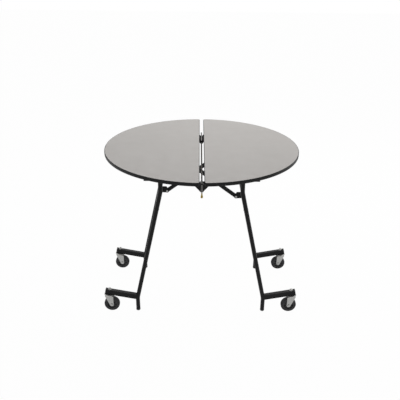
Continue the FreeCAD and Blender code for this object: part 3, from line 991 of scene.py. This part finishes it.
    def model_stem(self) -> Obj:
        """Models the stem with its nut, washer and bearing cup.

        Returns:
            The stem in the caster's frame.
        """
        top = self.arm_height / 2
        under = -top
        low = under - self.cup_height
        c = self.cup_radius
        r = self.stem_radius
        seat = self.crown_top - self.crown_thick - 0.4
        turned = {
            "cup": (self.cup_steps, [
                (0.0, under), (c - 6.0, under), (c - 3.4, under - 0.9), (c - 1.4, under - 2.6),
                (c - 0.4, under - 4.4), (c, under - 5.2), (c, low + 0.5), (c - 0.6, low),
                (0.0, low)]),
            "washer": (self.washer_steps, [
                (0.0, top), (10.9, top), (11.2, top + 0.4), (11.0, top + 1.4),
                (0.0, top + self.washer)]),
            "tip": (self.rod_steps, [
                (0.0, top + 8), (r, top + 8), (r, top + 12.6), (r - 1.2, top + 14),
                (0.0, top + 14)]),
            "shank": (self.rod_steps, [
                (0.0, seat + 0.2), (r, seat + 0.2), (r, low + 0.5), (0.0, low + 0.5)]),
            "head": (self.washer_steps, [
                (0.0, seat), (8.6, seat), (9.0, seat - 0.6), (8.2, seat - 2.4),
                (5.0, seat - 3.0), (0.0, seat - 3.0)]),
        }
        parts = [Bench.lathe(name, profile, ORIGIN, UP, steps)
                 for name, (steps, profile) in turned.items()]
        nut = Bench.hexagon("nut", self.stem_nut)
        parts.append(Bench.move(nut, Matrix.Translation((0, 0, (top + self.washer) * MM))))
        return Bench.join("stem_model", parts)

    def model_axle(self) -> Obj:
        """Models the axle bolt with its head, nut and washers.

        Returns:
            The axle in the caster's frame.
        """
        outer = self.inside + self.plate
        seat = outer + self.axle_washer
        r = self.axle_radius
        rod = [(0.0, -outer), (r, -outer), (r, outer), (0.0, outer)]
        parts = [Bench.lathe("axle_rod", rod, self.hub_centre, ACROSS, self.rod_steps)]
        for sign in SIGNS:
            washer = [(0.0, sign * outer), (8.0, sign * outer), (8.3, sign * (outer + 0.4)),
                      (8.1, sign * seat), (0.0, sign * seat)]
            parts.append(Bench.lathe("axle_washer", washer, self.hub_centre, ACROSS,
                                     self.axle_washer_steps))
            parts.append(Bench.cross_head("axle_head", self.axle_nut, self.hub_centre, seat, sign))
        return Bench.join("axle_model", parts)

    def model_tyre(self) -> Obj:
        """Models the tyre with its crown, shoulders and side steps.

        Returns:
            The tyre in the caster's frame.
        """
        half = self.wheel_width / 2
        big = self.wheel_radius
        small = big - self.tyre_depth
        side = [(small, half - 1.6), (small + 2.0, half - 1.2), (small + 2.8, half - 0.3),
                (small + 5.4, half), (big - 5.0, half - 0.2), (big - 3.2, half - 1.0),
                (big - 1.5, half - 3.0), (big - 0.5, half - 5.6), (big, half - 8.6)]
        return self.wheel_ring("tyre_model", side, self.tyre_steps)

    def wheel_ring(self, name: str, side: Sequence[Flat], steps: int) -> Obj:
        """Turns one half of a section and its mirror image round the wheel's axis.

        Args:
            name: Name of the new object.
            side: Corners of the half section.
            steps: Number of steps of the turn.

        Returns:
            The turned ring in the caster's frame.
        """
        profile = [(r, -a) for r, a in side] + [(r, a) for r, a in reversed(side)]
        return Bench.lathe(name, profile, self.hub_centre, ACROSS, steps)

    def model_hub(self) -> Obj:
        """Models the hub with its rim, dished web, boss and ribs.

        Returns:
            The hub in the caster's frame.
        """
        rim = self.wheel_radius - self.tyre_depth
        half = self.wheel_width / 2 - 1.0
        boss = self.inside - 0.5
        side = [(self.axle_radius + 0.1, boss), (8.6, boss), (9.2, boss - 0.5), (9.4, boss - 2.6),
                (12.4, boss - 3.0), (13.0, boss - 3.6), (13.4, 7.4), (15.0, 6.2), (28.0, 5.2),
                (30.4, 6.0), (31.4, half - 0.8), (32.2, half), (rim - 0.6, half),
                (rim, half - 0.6)]
        parts = [self.wheel_ring("hub_body", side, self.hub_steps)]
        for k in range(self.ribs):
            angle = k * FULL_TURN / self.ribs + self.rib_first
            parts += [self.rib(angle, sign) for sign in SIGNS]
        return Bench.join("hub_model", parts)

    def rib(self, angle: float, sign: int) -> Obj:
        """Models one thin rib of the hub's web.

        Args:
            angle: Where the rib stands round the hub, in radians.
            sign: Face of the hub.

        Returns:
            The rib in the caster's frame.
        """
        out = Vector((math.cos(angle), 0, math.sin(angle)))
        half = Vector((-math.sin(angle), 0, math.cos(angle))) * (self.rib_half * MM)
        base = Vector(self.hub_centre) + Vector((0, sign * self.rib_base * MM, 0))
        start = base + out * (self.rib_start * MM)
        stop = base + out * (self.rib_stop * MM)
        spots = [start - half, stop - half, stop + half, start + half]
        return Bench.plate("rib", [tuple(s) for s in spots], (0, sign * self.rib_height * MM, 0))

    def build(self) -> list[Piece]:
        """Models one caster and copies it to the four arm ends.

        Returns:
            Forks, axles, tyres and hubs of all casters, and the stems of each side.
        """
        models = {"fork": self.model_fork(), "axle": self.model_axle(),
                  "tyre": self.model_tyre(), "hub": self.model_hub()}
        looks = {"fork": ("caster", "zinc", Look.ZINC), "axle": ("caster", "zinc", Look.ZINC),
                 "tyre": ("wheel", "tyre", Look.RUBBER), "hub": ("wheel", "hub", Look.HUB)}
        stem = self.model_stem()
        pieces: list[Piece] = []
        for side in Side:
            stems = []
            for end in End:
                corner = f"{side.word}_{end.word}"
                where = self.place(side, end)
                for kind, model in models.items():
                    body, slot, look = looks[kind]
                    obj = Bench.move(Bench.copy(model, f"{corner}_{kind}_detail"), where)
                    pieces.append(Piece(obj, f"{corner}_{body}", slot, look, (f"{corner}_{kind}",)))
                stems.append(Bench.move(Bench.copy(stem, f"{corner}_stem_detail"), where))
            whole = Bench.join(f"{side.word}_stem_details", stems)
            pieces.append(Piece(whole, f"{side.word}_leg_frame", "zinc", Look.ZINC,
                                (f"{side.word}_caster_stems",)))
        Bench.drop([*models.values(), stem])
        return pieces


@dataclass
class LegFrame:
    """Bent tube legs of a leg frame with feet, arm caps and the link bolt. Millimetres."""

    tube: float = 13.5
    tube_steps: int = 48
    pivot_x: float = 249.0
    pivot_z: float = 1031.0
    pivot_sink: float = 0.4
    bend_z: float = 865.0
    bend_radius: float = 120.0
    bend_steps: int = 10
    foot_bend_z: float = 99.0
    foot_x: float = 417.0
    leg_y: float = 270.0
    foot_radius: float = 14.0
    foot_height: float = 11.0
    foot_steps: int = 40
    cap_x: float = 23.0
    cap_thick: float = 3.0
    cap_rim: float = 4.5
    cap_dish: float = 0.8
    cap_ease: float = 0.9
    cap_ease_steps: int = 3
    cap_ease_limit: float = 30.0
    arm_width: float = 25.0
    arm_height: float = 35.0
    bolt_x: float = 227.0
    bolt_y: float = 43.0
    bolt_z: float = 740.0
    bolt_seat: float = 7.6
    bolt_radius: float = 4.0
    bolt_steps: int = 32
    bolt_head: HexSize = HexSize(13.0, 5.5, 0.9)

    @property
    def splay(self) -> float:
        """Lean of the legs between their bends, in radians."""
        return math.atan2(self.foot_x - self.pivot_x, self.bend_z - self.foot_bend_z)

    def stations(self) -> list[tuple[float, float, float]]:
        """Rings of a right leg below its top ring.

        Returns:
            X, Z and lean of each ring.
        """
        r = self.bend_radius
        cut = r * math.tan(self.splay / 2)
        turns = [self.splay * k / self.bend_steps for k in range(self.bend_steps + 1)]
        upper = [(self.pivot_x + r - r * math.cos(a), self.bend_z + cut - r * math.sin(a), a)
                 for a in turns]
        lower = [(self.foot_x - r + r * math.cos(a), self.foot_bend_z - cut + r * math.sin(a), a)
                 for a in reversed(turns)]
        return upper + lower + [(self.foot_x, self.foot_height, 0.0)]

    def leg(self, side: Side, end: End) -> Piece:
        """Models one bent leg, shaped at its top round the pivot tube.

        Args:
            side: Half of the table.
            end: End of the leg frame.

        Returns:
            The leg as one piece.
        """
        count = self.tube_steps
        turns = [FULL_TURN * k / count for k in range(count)]
        section = [(self.tube * math.cos(a), self.tube * math.sin(a)) for a in turns]

        def spot(x: float, y: float, z: float) -> Point:
            """Point of the leg in metres, on its own side and end."""
            return (side.value * x * MM, (end.value * self.leg_y + y) * MM, z * MM)

        rings = [[spot(self.pivot_x + out, y, self.pivot_z - abs(y) + self.pivot_sink)
                  for out, y in section]]
        for x, z, lean in self.stations():
            rings.append([spot(x + out * math.cos(lean), y, z + out * math.sin(lean))
                          for out, y in section])
        obj = Bench.pipe(f"{side.word}_{end.word}_leg_tube", rings)
        bpy.ops.mesh.edge_face_add()
        mesh = bmesh.from_edit_mesh(obj.data)
        mesh.verts.ensure_lookup_table()
        for k in range(count // 2):
            corners = dict.fromkeys((k, k + 1, count - k - 1, -k % count))
            mesh.faces.new([mesh.verts[c] for c in corners])
        bmesh.update_edit_mesh(obj.data)
        Bench.close(obj)
        return Piece(obj, f"{side.word}_leg_frame", "frame", Look.POWDER,
                     (f"{side.word}_{end.word}_leg",))

    def feet(self, side: Side) -> Piece:
        """Models the glides of one frame, rounded and grooved.

        Args:
            side: Half of the table.

        Returns:
            Both glides as one piece.
        """
        r = self.foot_radius
        h = self.foot_height
        profile = [(0.0, 0.0), (r - 4.2, 0.0), (r - 2.2, 0.5), (r - 0.7, 1.8), (r, 3.9), (r, 6.4),
                   (r - 0.5, 6.8), (r - 0.5, 7.5), (r, 7.9), (r, h), (0.0, h)]
        spots = [(side.value * self.foot_x * MM, end.value * self.leg_y * MM, 0.0) for end in End]
        parts = [Bench.lathe("glide", profile, spot, UP, self.foot_steps) for spot in spots]
        whole = Bench.join(f"{side.word}_glides", parts)
        return Piece(whole, f"{side.word}_leg_frame", "cap", Look.PLASTIC, (f"{side.word}_feet",))

    def caps(self, side: Side, caster: Caster) -> Piece:
        """Models the plastic plugs in the outer arm ends.

        Args:
            side: Half of the table.
            caster: Caster whose frame the arm shares.

        Returns:
            Both plugs as one piece.
        """
        parts = []
        for end in End:
            Bench.clear()
            bpy.ops.mesh.primitive_cube_add(size=1.0)
            obj = bpy.context.object
            obj.scale = (self.cap_thick * MM, self.arm_width * MM, self.arm_height * MM)
            obj.location = ((self.cap_x + self.cap_thick / 2) * MM, 0, 0)
            bpy.ops.object.transform_apply(location=True, rotation=True, scale=True)
            Bench.open(obj)
            Bench.pick(obj, Pick.FACE, lambda face: face.normal.x > 0.9)
            bpy.ops.mesh.inset(thickness=self.cap_rim * MM, depth=0.0)
            bpy.ops.transform.translate(value=(-self.cap_dish * MM, 0, 0))
            Bench.close(obj)
            Bench.soften(obj, self.cap_ease, self.cap_ease_steps, self.cap_ease_limit)
            parts.append(Bench.move(obj, caster.place(side, end)))
        whole = Bench.join(f"{side.word}_arm_caps", parts)
        return Piece(whole, f"{side.word}_leg_frame", "cap", Look.PLASTIC,
                     (f"{side.word}_end_caps",))

    def link_bolt(self, side: Side) -> Piece:
        """Models the link's lower bolt with its head and nut.

        Args:
            side: Half of the table.

        Returns:
            The bolt as one piece.
        """
        centre = (side.value * self.bolt_x * MM, -side.value * self.bolt_y * MM, self.bolt_z * MM)
        seat = self.bolt_seat
        r = self.bolt_radius
        rod = [(0.0, -seat), (r, -seat), (r, seat), (0.0, seat)]
        parts = [Bench.lathe("bolt_rod", rod, centre, ACROSS, self.bolt_steps)]
        parts += [Bench.cross_head("bolt_head", self.bolt_head, centre, seat, s) for s in SIGNS]
        whole = Bench.join(f"{side.word}_link_bolt_detail", parts)
        return Piece(whole, f"{side.word}_leg_frame", "zinc", Look.ZINC,
                     (f"{side.word}_link_bolt",))

    def build(self, caster: Caster) -> list[Piece]:
        """Models the legs and fittings of both frames.

        Args:
            caster: Caster whose frame the arms share.

        Returns:
            Legs, glides, plugs and link bolts.
        """
        pieces = []
        for side in Side:
            pieces += [self.leg(side, end) for end in End]
            pieces += [self.feet(side), self.caps(side, caster), self.link_bolt(side)]
        return pieces


@dataclass
class Welds:
    """Weld beads where the tubes of a leg frame meet. Millimetres."""

    legs: LegFrame
    bead: float = 1.4
    bead_steps: int = 2
    ripple: float = 0.12
    ripple_step: float = 2.2
    steps: int = 72
    cross_z: float = 748.0
    arm_steps: int = 12
    arm_rounds: int = 6

    def leg_x(self, z: float) -> float:
        """Distance of the leg's axis from the middle at a height near its foot."""
        legs = self.legs
        return legs.foot_x - max(0.0, z - legs.foot_bend_z) * math.tan(legs.splay)

    def tee(self, centre: Vector, main: Vector, branch: Vector) -> list[Vector]:
        """Line where a tube stands on another of the same size.

        Args:
            centre: Point where the two axes meet.
            main: Direction of the tube that runs on.
            branch: Direction of the tube that stands on it.

        Returns:
            Points round the joint.
        """
        across = main.cross(branch)
        spots = []
        for k in range(self.steps):
            turn = FULL_TURN * k / self.steps
            around = across * math.cos(turn) + main * math.sin(turn)
            spots.append(centre + self.legs.tube * (around + branch * abs(math.sin(turn))))
        return spots

    def arm_line(self, caster: Caster) -> list[Vector]:
        """Line where a right arm stands on its leg.

        Args:
            caster: Caster whose frame the arm shares.

        Returns:
            Points round the joint, with Y from the middle of the leg.
        """
        w = self.legs.arm_width / 2
        h = self.legs.arm_height / 2
        corners = [(-w, h), (w, h), (w, -h), (-w, -h)]
        lean = math.radians(caster.tilt)
        spots = []
        for (y0, z0), (y1, z1) in zip(corners, corners[1:] + corners[:1]):
            for k in range(self.arm_steps):
                part = k / self.arm_steps
                y = y0 + (y1 - y0) * part
                up = z0 + (z1 - z0) * part
                z = caster.swivel_z
                for _ in range(self.arm_rounds):
                    x = self.leg_x(z) + math.sqrt(self.legs.tube ** 2 - y ** 2)
                    along = (caster.swivel_x - up * math.sin(lean) - x) / math.cos(lean)
                    z = caster.swivel_z - along * math.sin(lean) + up * math.cos(lean)
                spots.append(Vector((x, y, z)))
        return spots

    def run(self, name: str, spots: Sequence[Vector], side: Side) -> Obj:
        """Lays a rippled bead along a closed line of the right half, or its twin on the left.

        Args:
            name: Name of the new object.
            spots: Points of the line.
            side: Half of the table.

        Returns:
            The bead.
        """
        line = [(side.value * p.x * MM, p.y * MM, p.z * MM) for p in spots]
        Bench.take(Bench.ring(name, line, False))
        bpy.ops.object.convert(target="CURVE")
        curve = bpy.context.object.data
        curve.bevel_depth = self.bead * MM
        curve.bevel_resolution = self.bead_steps
        for k, point in enumerate(curve.splines[0].points):
            point.radius = 1.0 + self.ripple * math.sin(k * self.ripple_step)
        bpy.ops.object.convert(target="MESH")
        return Bench.move(bpy.context.object, Matrix.Identity(4))

    def build(self, caster: Caster) -> list[Piece]:
        """Lays the beads of both leg frames.

        Args:
            caster: Caster whose frame the arms share.

        Returns:
            The beads of each frame as one piece.
        """
        legs = self.legs
        cross_x = legs.pivot_x + (legs.bend_z - self.cross_z) * math.tan(legs.splay)
        leg = Vector((math.sin(legs.splay), 0, -math.cos(legs.splay)))
        pieces = []
        for side in Side:
            beads = []
            for end in End:
                y = end.value * legs.leg_y
                pivot = Vector((legs.pivot_x, y, legs.pivot_z))
                cross = Vector((cross_x, y, self.cross_z))
                lines = [self.tee(pivot, Vector(ACROSS), -Vector(UP)),
                         self.tee(cross, leg, -end.value * Vector(ACROSS)),
                         [spot + Vector((0, y, 0)) for spot in self.arm_line(caster)]]
                beads += [self.run("bead", line, side) for line in lines]
            whole = Bench.join(f"{side.word}_weld_beads", beads)
            pieces.append(Piece(whole, f"{side.word}_leg_frame", "frame", Look.POWDER, ()))
        return pieces


@dataclass
class ReleasePull:
    """Pull at the front of the hinge: flat strap, stop, neck and brass grip. Millimetres."""

    y: float = -539.5
    bottom: float = 948.0
    grip_steps: int = 48
    strap_low: float = 984.0
    strap_high: float = 1049.0
    strap_width: float = 11.0
    strap_thick: float = 4.0
    strap_ease: float = 0.5
    stop_width: float = 18.0
    stop_depth: float = 8.0
    stop_height: float = 4.0
    stop_ease: float = 0.6
    neck_radius: float = 2.5
    neck_steps: int = 28

    @property
    def foot(self) -> Point:
        """Lowest point of the pull, in metres."""
        return (0.0, self.y * MM, self.bottom * MM)

    def grip(self) -> Piece:
        """Models the turned brass grip.

        Returns:
            The grip as one piece.
        """
        profile = [(0.0, 0.0), (2.6, 0.2), (4.8, 1.2), (6.2, 3.4), (6.7, 6.2), (6.5, 9.0),
                   (5.6, 12.6), (4.7, 16.4), (4.1, 20.4), (3.8, 24.0), (4.1, 25.0), (4.1, 27.0),
                   (3.7, 27.7), (3.7, 29.3), (3.0, 30.0), (0.0, 30.0)]
        obj = Bench.lathe("pull_grip", profile, self.foot, UP, self.grip_steps)
        return Piece(obj, "release", "brass", Look.BRASS, ("release_tip",))

    def strap(self) -> Piece:
        """Models the flat strap with its stop and its ringed neck.

        Returns:
            The strap as one piece.
        """
        half = self.strap_width / 2
        low = self.strap_low
        high = self.strap_high
        edge = [(half - 3.5, low), (half - 1.2, low + 1.0), (half, low + 3.5), (half, high)]
        outline = [(-x, z) for x, z in reversed(edge)] + edge
        face = (self.y - self.strap_thick / 2) * MM
        blade = Bench.plate("blade", [(x * MM, face, z * MM) for x, z in outline],
                            (0, self.strap_thick * MM, 0))
        Bench.soften(blade, self.strap_ease)
        wide = self.stop_width / 2
        deep = self.stop_depth / 2
        base = [(-wide, -deep), (wide, -deep), (wide, deep), (-wide, deep)]
        under = (high - self.stop_height) * MM
        stop = Bench.plate("stop", [(x * MM, (self.y + y) * MM, under) for x, y in base],
                           (0, 0, self.stop_height * MM))
        Bench.soften(stop, self.stop_ease)
        r = self.neck_radius
        top = low - self.bottom + 0.5
        profile = [(0.0, 15.0), (r, 15.0), (r, 31.4), (r - 0.5, 31.8), (r - 0.5, 32.6), (r, 33.0),
                   (r, top), (0.0, top)]
        neck = Bench.lathe("neck", profile, self.foot, UP, self.neck_steps)
        whole = Bench.join("pull_strap", [blade, stop, neck])
        return Piece(whole, "release", "zinc", Look.STEEL, ("release_strap",))

    def build(self) -> list[Piece]:
        """Models the pull."""
        return [self.grip(), self.strap()]


@dataclass
class SteelWork:
    """Rails, hinge leaves, tubes, arms, brackets and links with eased edges. Millimetres."""

    ease: float = 0.5
    ease_limit: float = 50.0
    same_plane: float = 0.5
    tubes: tuple[str, ...] = ("pivot_tube", "pivot_bearings")
    sheets: tuple[str, ...] = ("front_rail", "rear_rail", "hinge_leaves", "link_bracket",
                               "cross_tube", "front_arm", "rear_arm", "link")
    guide: str = "release_guide"
    bar: str = "torsion_bar"

    def ease_node(self, node: Obj, width: float) -> Obj:
        """Copies a CAD node, merges its triangles and eases its edges.

        Args:
            node: CAD node to stand for.
            width: Width of the eased edges, or zero for round work.

        Returns:
            The eased copy.
        """
        obj = Bench.copy(node, f"{node.name}_steel")
        Bench.open(obj)
        bpy.ops.mesh.remove_doubles(threshold=CAD_MERGE_DISTANCE)
        bpy.ops.mesh.dissolve_limited(angle_limit=math.radians(self.same_plane))
        bpy.ops.object.mode_set(mode="OBJECT")
        if width:
            Bench.soften(obj, width, limit=self.ease_limit)
        return obj

    def build(self, nodes: dict[str, Obj], bodies: dict[str, str]) -> list[Piece]:
        """Eases all steel work.

        Args:
            nodes: CAD nodes by name.
            bodies: Body of each node by name.

        Returns:
            The eased pieces.
        """
        pieces = []
        for name in sorted(nodes):
            kind = name.split("_", 1)[1]
            if kind in self.tubes or kind in self.sheets or name == self.guide:
                obj = self.ease_node(nodes[name], 0.0 if kind in self.tubes else self.ease)
                pieces.append(Piece(obj, bodies[name], "frame", Look.POWDER, (name,), flat=True))
        obj = self.ease_node(nodes[self.bar], self.ease)
        pieces.append(Piece(obj, bodies[self.bar], "zinc", Look.STEEL, (self.bar,)))
        return pieces


@dataclass
class LinkStuds:
    """Bright heads over the studs of the link brackets. Millimetres."""

    x: float = 112.2
    y: float = 43.0
    z: float = 994.0
    seat: float = 8.0
    head: HexSize = HexSize(13.3, 5.75, 0.45)
    head_turn: float = 30.0

    def build(self) -> list[Piece]:
        """Models the heads under both halves.

        Returns:
            The heads under each half as one piece.
        """
        pieces = []
        for side in Side:
            centre = (side.value * self.x * MM, side.value * self.y * MM, self.z * MM)
            heads = [Bench.cross_head("stud_head", self.head, centre, self.seat, sign,
                                      self.head_turn) for sign in SIGNS]
            whole = Bench.join(f"{side.word}_stud_heads", heads)
            pieces.append(Piece(whole, f"{side.word}_top", "zinc", Look.ZINC, ()))
        return pieces


@dataclass
class Screws:
    """Pan-head screws under the top, each with a cross recess. Millimetres."""

    head_radius: float = 4.4
    head_height: float = 2.6
    shank_radius: float = 2.0
    shank_length: float = 12.0
    slot_length: float = 4.6
    slot_width: float = 1.1
    slot_depth: float = 1.3
    steps: int = 28
    turn_step: float = 2.4

    def model(self) -> Obj:
        """Models one screw with its seat on the origin and its head below.

        Returns:
            The screw, hollowed by its recess.
        """
        r = self.head_radius
        h = self.head_height
        shank = self.shank_radius
        tip = self.shank_length
        profile = [(0.0, tip), (shank - 0.6, tip), (shank, tip - 1.4), (shank, 0.0), (r, 0.0),
                   (r, -0.5), (r - 0.35, -1.3), (r - 1.1, -2.1), (r - 2.2, -h + 0.05), (0.0, -h)]
        obj = Bench.lathe("screw_model", profile, ORIGIN, UP, self.steps)
        for length, width in ((self.slot_length, self.slot_width),
                              (self.slot_width, self.slot_length)):
            x = length / 2 * MM
            y = width / 2 * MM
            z = -(h + 1) * MM
            tool = Bench.plate("slot_tool", [(-x, -y, z), (x, -y, z), (x, y, z), (-x, y, z)],
                               (0, 0, (1 + self.slot_depth) * MM))
            Bench.take(obj)
            cut = obj.modifiers.new("recess", "BOOLEAN")
            cut.operation = "DIFFERENCE"
            cut.solver = "EXACT"
            cut.object = tool
            bpy.ops.object.modifier_apply(modifier=cut.name)
            Bench.drop([tool])
        return obj

    @staticmethod
    def spots(node: Obj) -> list[Vector]:
        """Middle of each screw of a CAD node, at its lowest height.

        Args:
            node: CAD node with all screws of one half.

        Returns:
            One point for each screw.
        """
        mesh = bmesh.new()
        mesh.from_mesh(node.data)
        bmesh.ops.remove_doubles(mesh, verts=mesh.verts, dist=CAD_MERGE_DISTANCE)
        left = set(mesh.verts)
        found = []
        while left:
            heap = [left.pop()]
            island = []
            while heap:
                vert = heap.pop()
                island.append(vert.co.copy())
                near = {edge.other_vert(vert) for edge in vert.link_edges} & left
                left -= near
                heap.extend(near)
            low, high = (Vector([pick(co[k] for co in island) for k in range(3)])
                         for pick in (min, max))
            found.append(Vector(((low.x + high.x) / 2, (low.y + high.y) / 2, low.z)))
        mesh.free()
        return sorted(found, key=lambda spot: (round(spot.x, 4), round(spot.y, 4)))

    def build(self, nodes: dict[str, Obj]) -> list[Piece]:
        """Models one screw and copies it to every place under both halves.

        Args:
            nodes: CAD nodes by name.

        Returns:
            The screws of each half as one piece.
        """
        model = self.model()
        pieces = []
        for side in Side:
            node = f"{side.word}_screws"
            copies = []
            for k, spot in enumerate(self.spots(nodes[node])):
                place = Matrix.Translation(spot + Vector((0, 0, self.head_height * MM)))
                turn = Matrix.Rotation(self.turn_step * k, 4, "Z")
                copies.append(Bench.move(Bench.copy(model, f"screw_{k}"), place @ turn))
            whole = Bench.join(f"{side.word}_pan_screws", copies)
            pieces.append(Piece(whole, f"{side.word}_top", "zinc", Look.ZINC, (node,)))
        Bench.drop([model])
        return pieces


class CadDresser:
    """Gives every CAD node its finish, by a word in its name."""

    RULES: dict[str, Look] = {
        "laminate": Look.LAMINATE, "top_core": Look.BOARD, "edge_band": Look.MOULDING,
        "tyre": Look.RUBBER, "hub": Look.HUB, "fork": Look.ZINC, "axle": Look.ZINC,
        "stems": Look.ZINC, "screws": Look.ZINC, "link_bolt": Look.ZINC,
        "release_tip": Look.BRASS, "release_strap": Look.STEEL, "torsion_bar": Look.STEEL,
        "feet": Look.PLASTIC, "end_caps": Look.PLASTIC,
    }

    def look_of(self, node: str) -> Look:
        """Finish of one node."""
        return next((look for word, look in self.RULES.items() if word in node), Look.POWDER)

    def dress(self, nodes: dict[str, Obj], finishes: Finishes) -> None:
        """Dresses the CAD nodes.

        Args:
            nodes: CAD nodes by name.
            finishes: All finishes of the table.
        """
        for name, obj in sorted(nodes.items()):
            finishes.dress(obj, self.look_of(name))
        LOG.info("dressed %d CAD nodes", len(nodes))


@dataclass(frozen=True)
class Lamp:
    """Soft square lamp that faces a point. Metres and watts."""

    name: str
    spot: Point
    aim: Point
    power: float
    size: float = 2.4

    def hang(self) -> None:
        """Hangs the lamp in the scene."""
        data = bpy.data.lights.new(self.name, "AREA")
        data.shape = "SQUARE"
        data.size = self.size
        data.energy = self.power
        obj = bpy.data.objects.new(self.name, data)
        bpy.context.scene.collection.objects.link(obj)
        obj.location = self.spot
        ray = Vector(self.aim) - Vector(self.spot)
        obj.rotation_euler = ray.to_track_quat("-Z", "Y").to_euler()


@dataclass
class Studio:
    """Pale floor, soft lamps, white surround and the camera of the photo."""

    lens: float = 48.33
    sensor: float = 36.0
    shift_x: float = -0.006
    shift_y: float = 0.03275
    eye: Point = (-0.0207, -3.248, 2.172)
    pitch: float = 25.91
    yaw: float = 0.53
    roll: float = -0.66
    ambient: float = 0.36
    floor_size: float = 40.0
    floor_colour: tuple[float, float, float, float] = (0.88, 0.88, 0.88, 1.0)
    floor_rough: float = 0.9
    floor_glow: float = 0.98
    lamps: tuple[Lamp, ...] = (
        Lamp("key_lamp", (-2.0, -2.2, 4.0), (0.0, 0.0, 0.8), 5.0),
        Lamp("back_lamp", (-0.3, 2.7, 3.3), (0.0, 0.2, 0.9), 26.0),
        Lamp("right_lamp", (2.2, 2.0, 3.2), (0.0, 0.2, 0.9), 52.0),
    )

    def camera(self) -> None:
        """Sets up the camera at the photo's view."""
        data = bpy.data.cameras.new("photo_camera")
        data.sensor_fit = "HORIZONTAL"
        data.sensor_width = self.sensor
        data.lens = self.lens
        data.shift_x = self.shift_x
        data.shift_y = self.shift_y
        data.dof.use_dof = False
        obj = bpy.data.objects.new("photo_camera", data)
        bpy.context.scene.collection.objects.link(obj)
        pitch, yaw, roll = (math.radians(a) for a in (self.pitch, self.yaw, self.roll))
        level = Vector((math.sin(yaw), math.cos(yaw), 0))
        ahead = level * math.cos(pitch) - Vector(UP) * math.sin(pitch)
        right = Vector((math.cos(yaw), -math.sin(yaw), 0))
        down = ahead.cross(right)
        rolled_right = right * math.cos(roll) + down * math.sin(roll)
        rolled_down = down * math.cos(roll) - right * math.sin(roll)
        turn = Matrix((rolled_right, -rolled_down, -ahead)).transposed().to_4x4()
        obj.matrix_world = Matrix.Translation(self.eye) @ turn
        bpy.context.scene.camera = obj

    def floor(self) -> None:
        """Lays the pale floor, near white to the camera but with the table's shadow."""
        Bench.clear()
        bpy.ops.mesh.primitive_plane_add(size=self.floor_size, location=ORIGIN)
        obj = bpy.context.object
        obj.name = "pale_floor"
        material = bpy.data.materials.new("pale_floor")
        material.use_nodes = True
        tree = material.node_tree
        shader = tree.nodes["Principled BSDF"]
        shader.inputs["Base Color"].default_value = self.floor_colour
        shader.inputs["Roughness"].default_value = self.floor_rough
        glow = tree.nodes.new("ShaderNodeEmission")
        glow.inputs["Color"].default_value = WHITE
        part = tree.nodes.new("ShaderNodeMath")
        part.operation = "MULTIPLY"
        part.inputs[1].default_value = self.floor_glow
        tree.links.new(self.seen(tree), part.inputs[0])
        mix = tree.nodes.new("ShaderNodeMixShader")
        tree.links.new(part.outputs["Value"], mix.inputs["Fac"])
        tree.links.new(shader.outputs["BSDF"], mix.inputs[1])
        tree.links.new(glow.outputs["Emission"], mix.inputs[2])
        tree.links.new(mix.outputs["Shader"], tree.nodes["Material Output"].inputs["Surface"])
        obj.data.materials.append(material)
        obj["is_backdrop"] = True

    @staticmethod
    def seen(tree: Tree) -> Socket:
        """Tells the rays that show the background from those that light the table.

        Args:
            tree: Node tree that gets the nodes.

        Returns:
            One for camera, mirror and see-through rays, else zero.
        """
        rays = tree.nodes.new("ShaderNodeLightPath").outputs
        first = combine(tree, "MAXIMUM", rays["Is Camera Ray"], rays["Is Glossy Ray"])
        return combine(tree, "MAXIMUM", first, rays["Is Transmission Ray"])

    def surround(self) -> None:
        """Makes the surround white to the eye and softer as a light."""
        world = bpy.data.worlds.new("white_surround")
        bpy.context.scene.world = world
        world.use_nodes = True
        tree = world.node_tree
        back = tree.nodes["Background"]
        back.inputs["Color"].default_value = WHITE
        level = tree.nodes.new("ShaderNodeMapRange")
        level.inputs["To Min"].default_value = self.ambient
        level.inputs["To Max"].default_value = 1.0
        tree.links.new(self.seen(tree), level.inputs["Value"])
        tree.links.new(level.outputs["Result"], back.inputs["Strength"])

    def build(self) -> None:
        """Sets up the whole studio."""
        bpy.context.scene.view_settings.view_transform = "Standard"
        self.floor()
        self.surround()
        for lamp in self.lamps:
            lamp.hang()
        self.camera()


def body_of_nodes() -> dict[str, str]:
    """Body of each CAD node by name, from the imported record."""
    bodies = frame["record"]["behaviour"]["bodies"]
    return {node: body for body, nodes in bodies.items() for node in nodes}


def write_sizes() -> None:
    """Turns the CAD box and the dressed box into plain lists.
    """
    boxes = {"cad": CAD_BOX, "visual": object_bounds()}
    plain = {key: [[float(v) for v in corner] for corner in box] for key, box in boxes.items()}


def main() -> None:
    """Builds the table's looks, piece by piece."""
    logging.basicConfig(level=logging.INFO, format="%(message)s")
    finishes = Finishes()
    CadDresser().dress(frame["nodes"], finishes)
    caster = Caster()
    legs = LegFrame()
    moulding = EdgeMoulding()
    pieces = [moulding.build(side) for side in Side]
    pieces += caster.build()
    pieces += legs.build(caster)
    pieces += Welds(legs).build(caster)
    pieces += ReleasePull().build()
    pieces += LinkStuds().build()
    pieces += Screws().build(frame["nodes"])
    pieces += SteelWork().build(frame["nodes"], body_of_nodes())
    for piece in pieces:
        piece.settle(finishes)
    Studio().build()
    write_sizes()


if __name__ == "__main__":
    main()
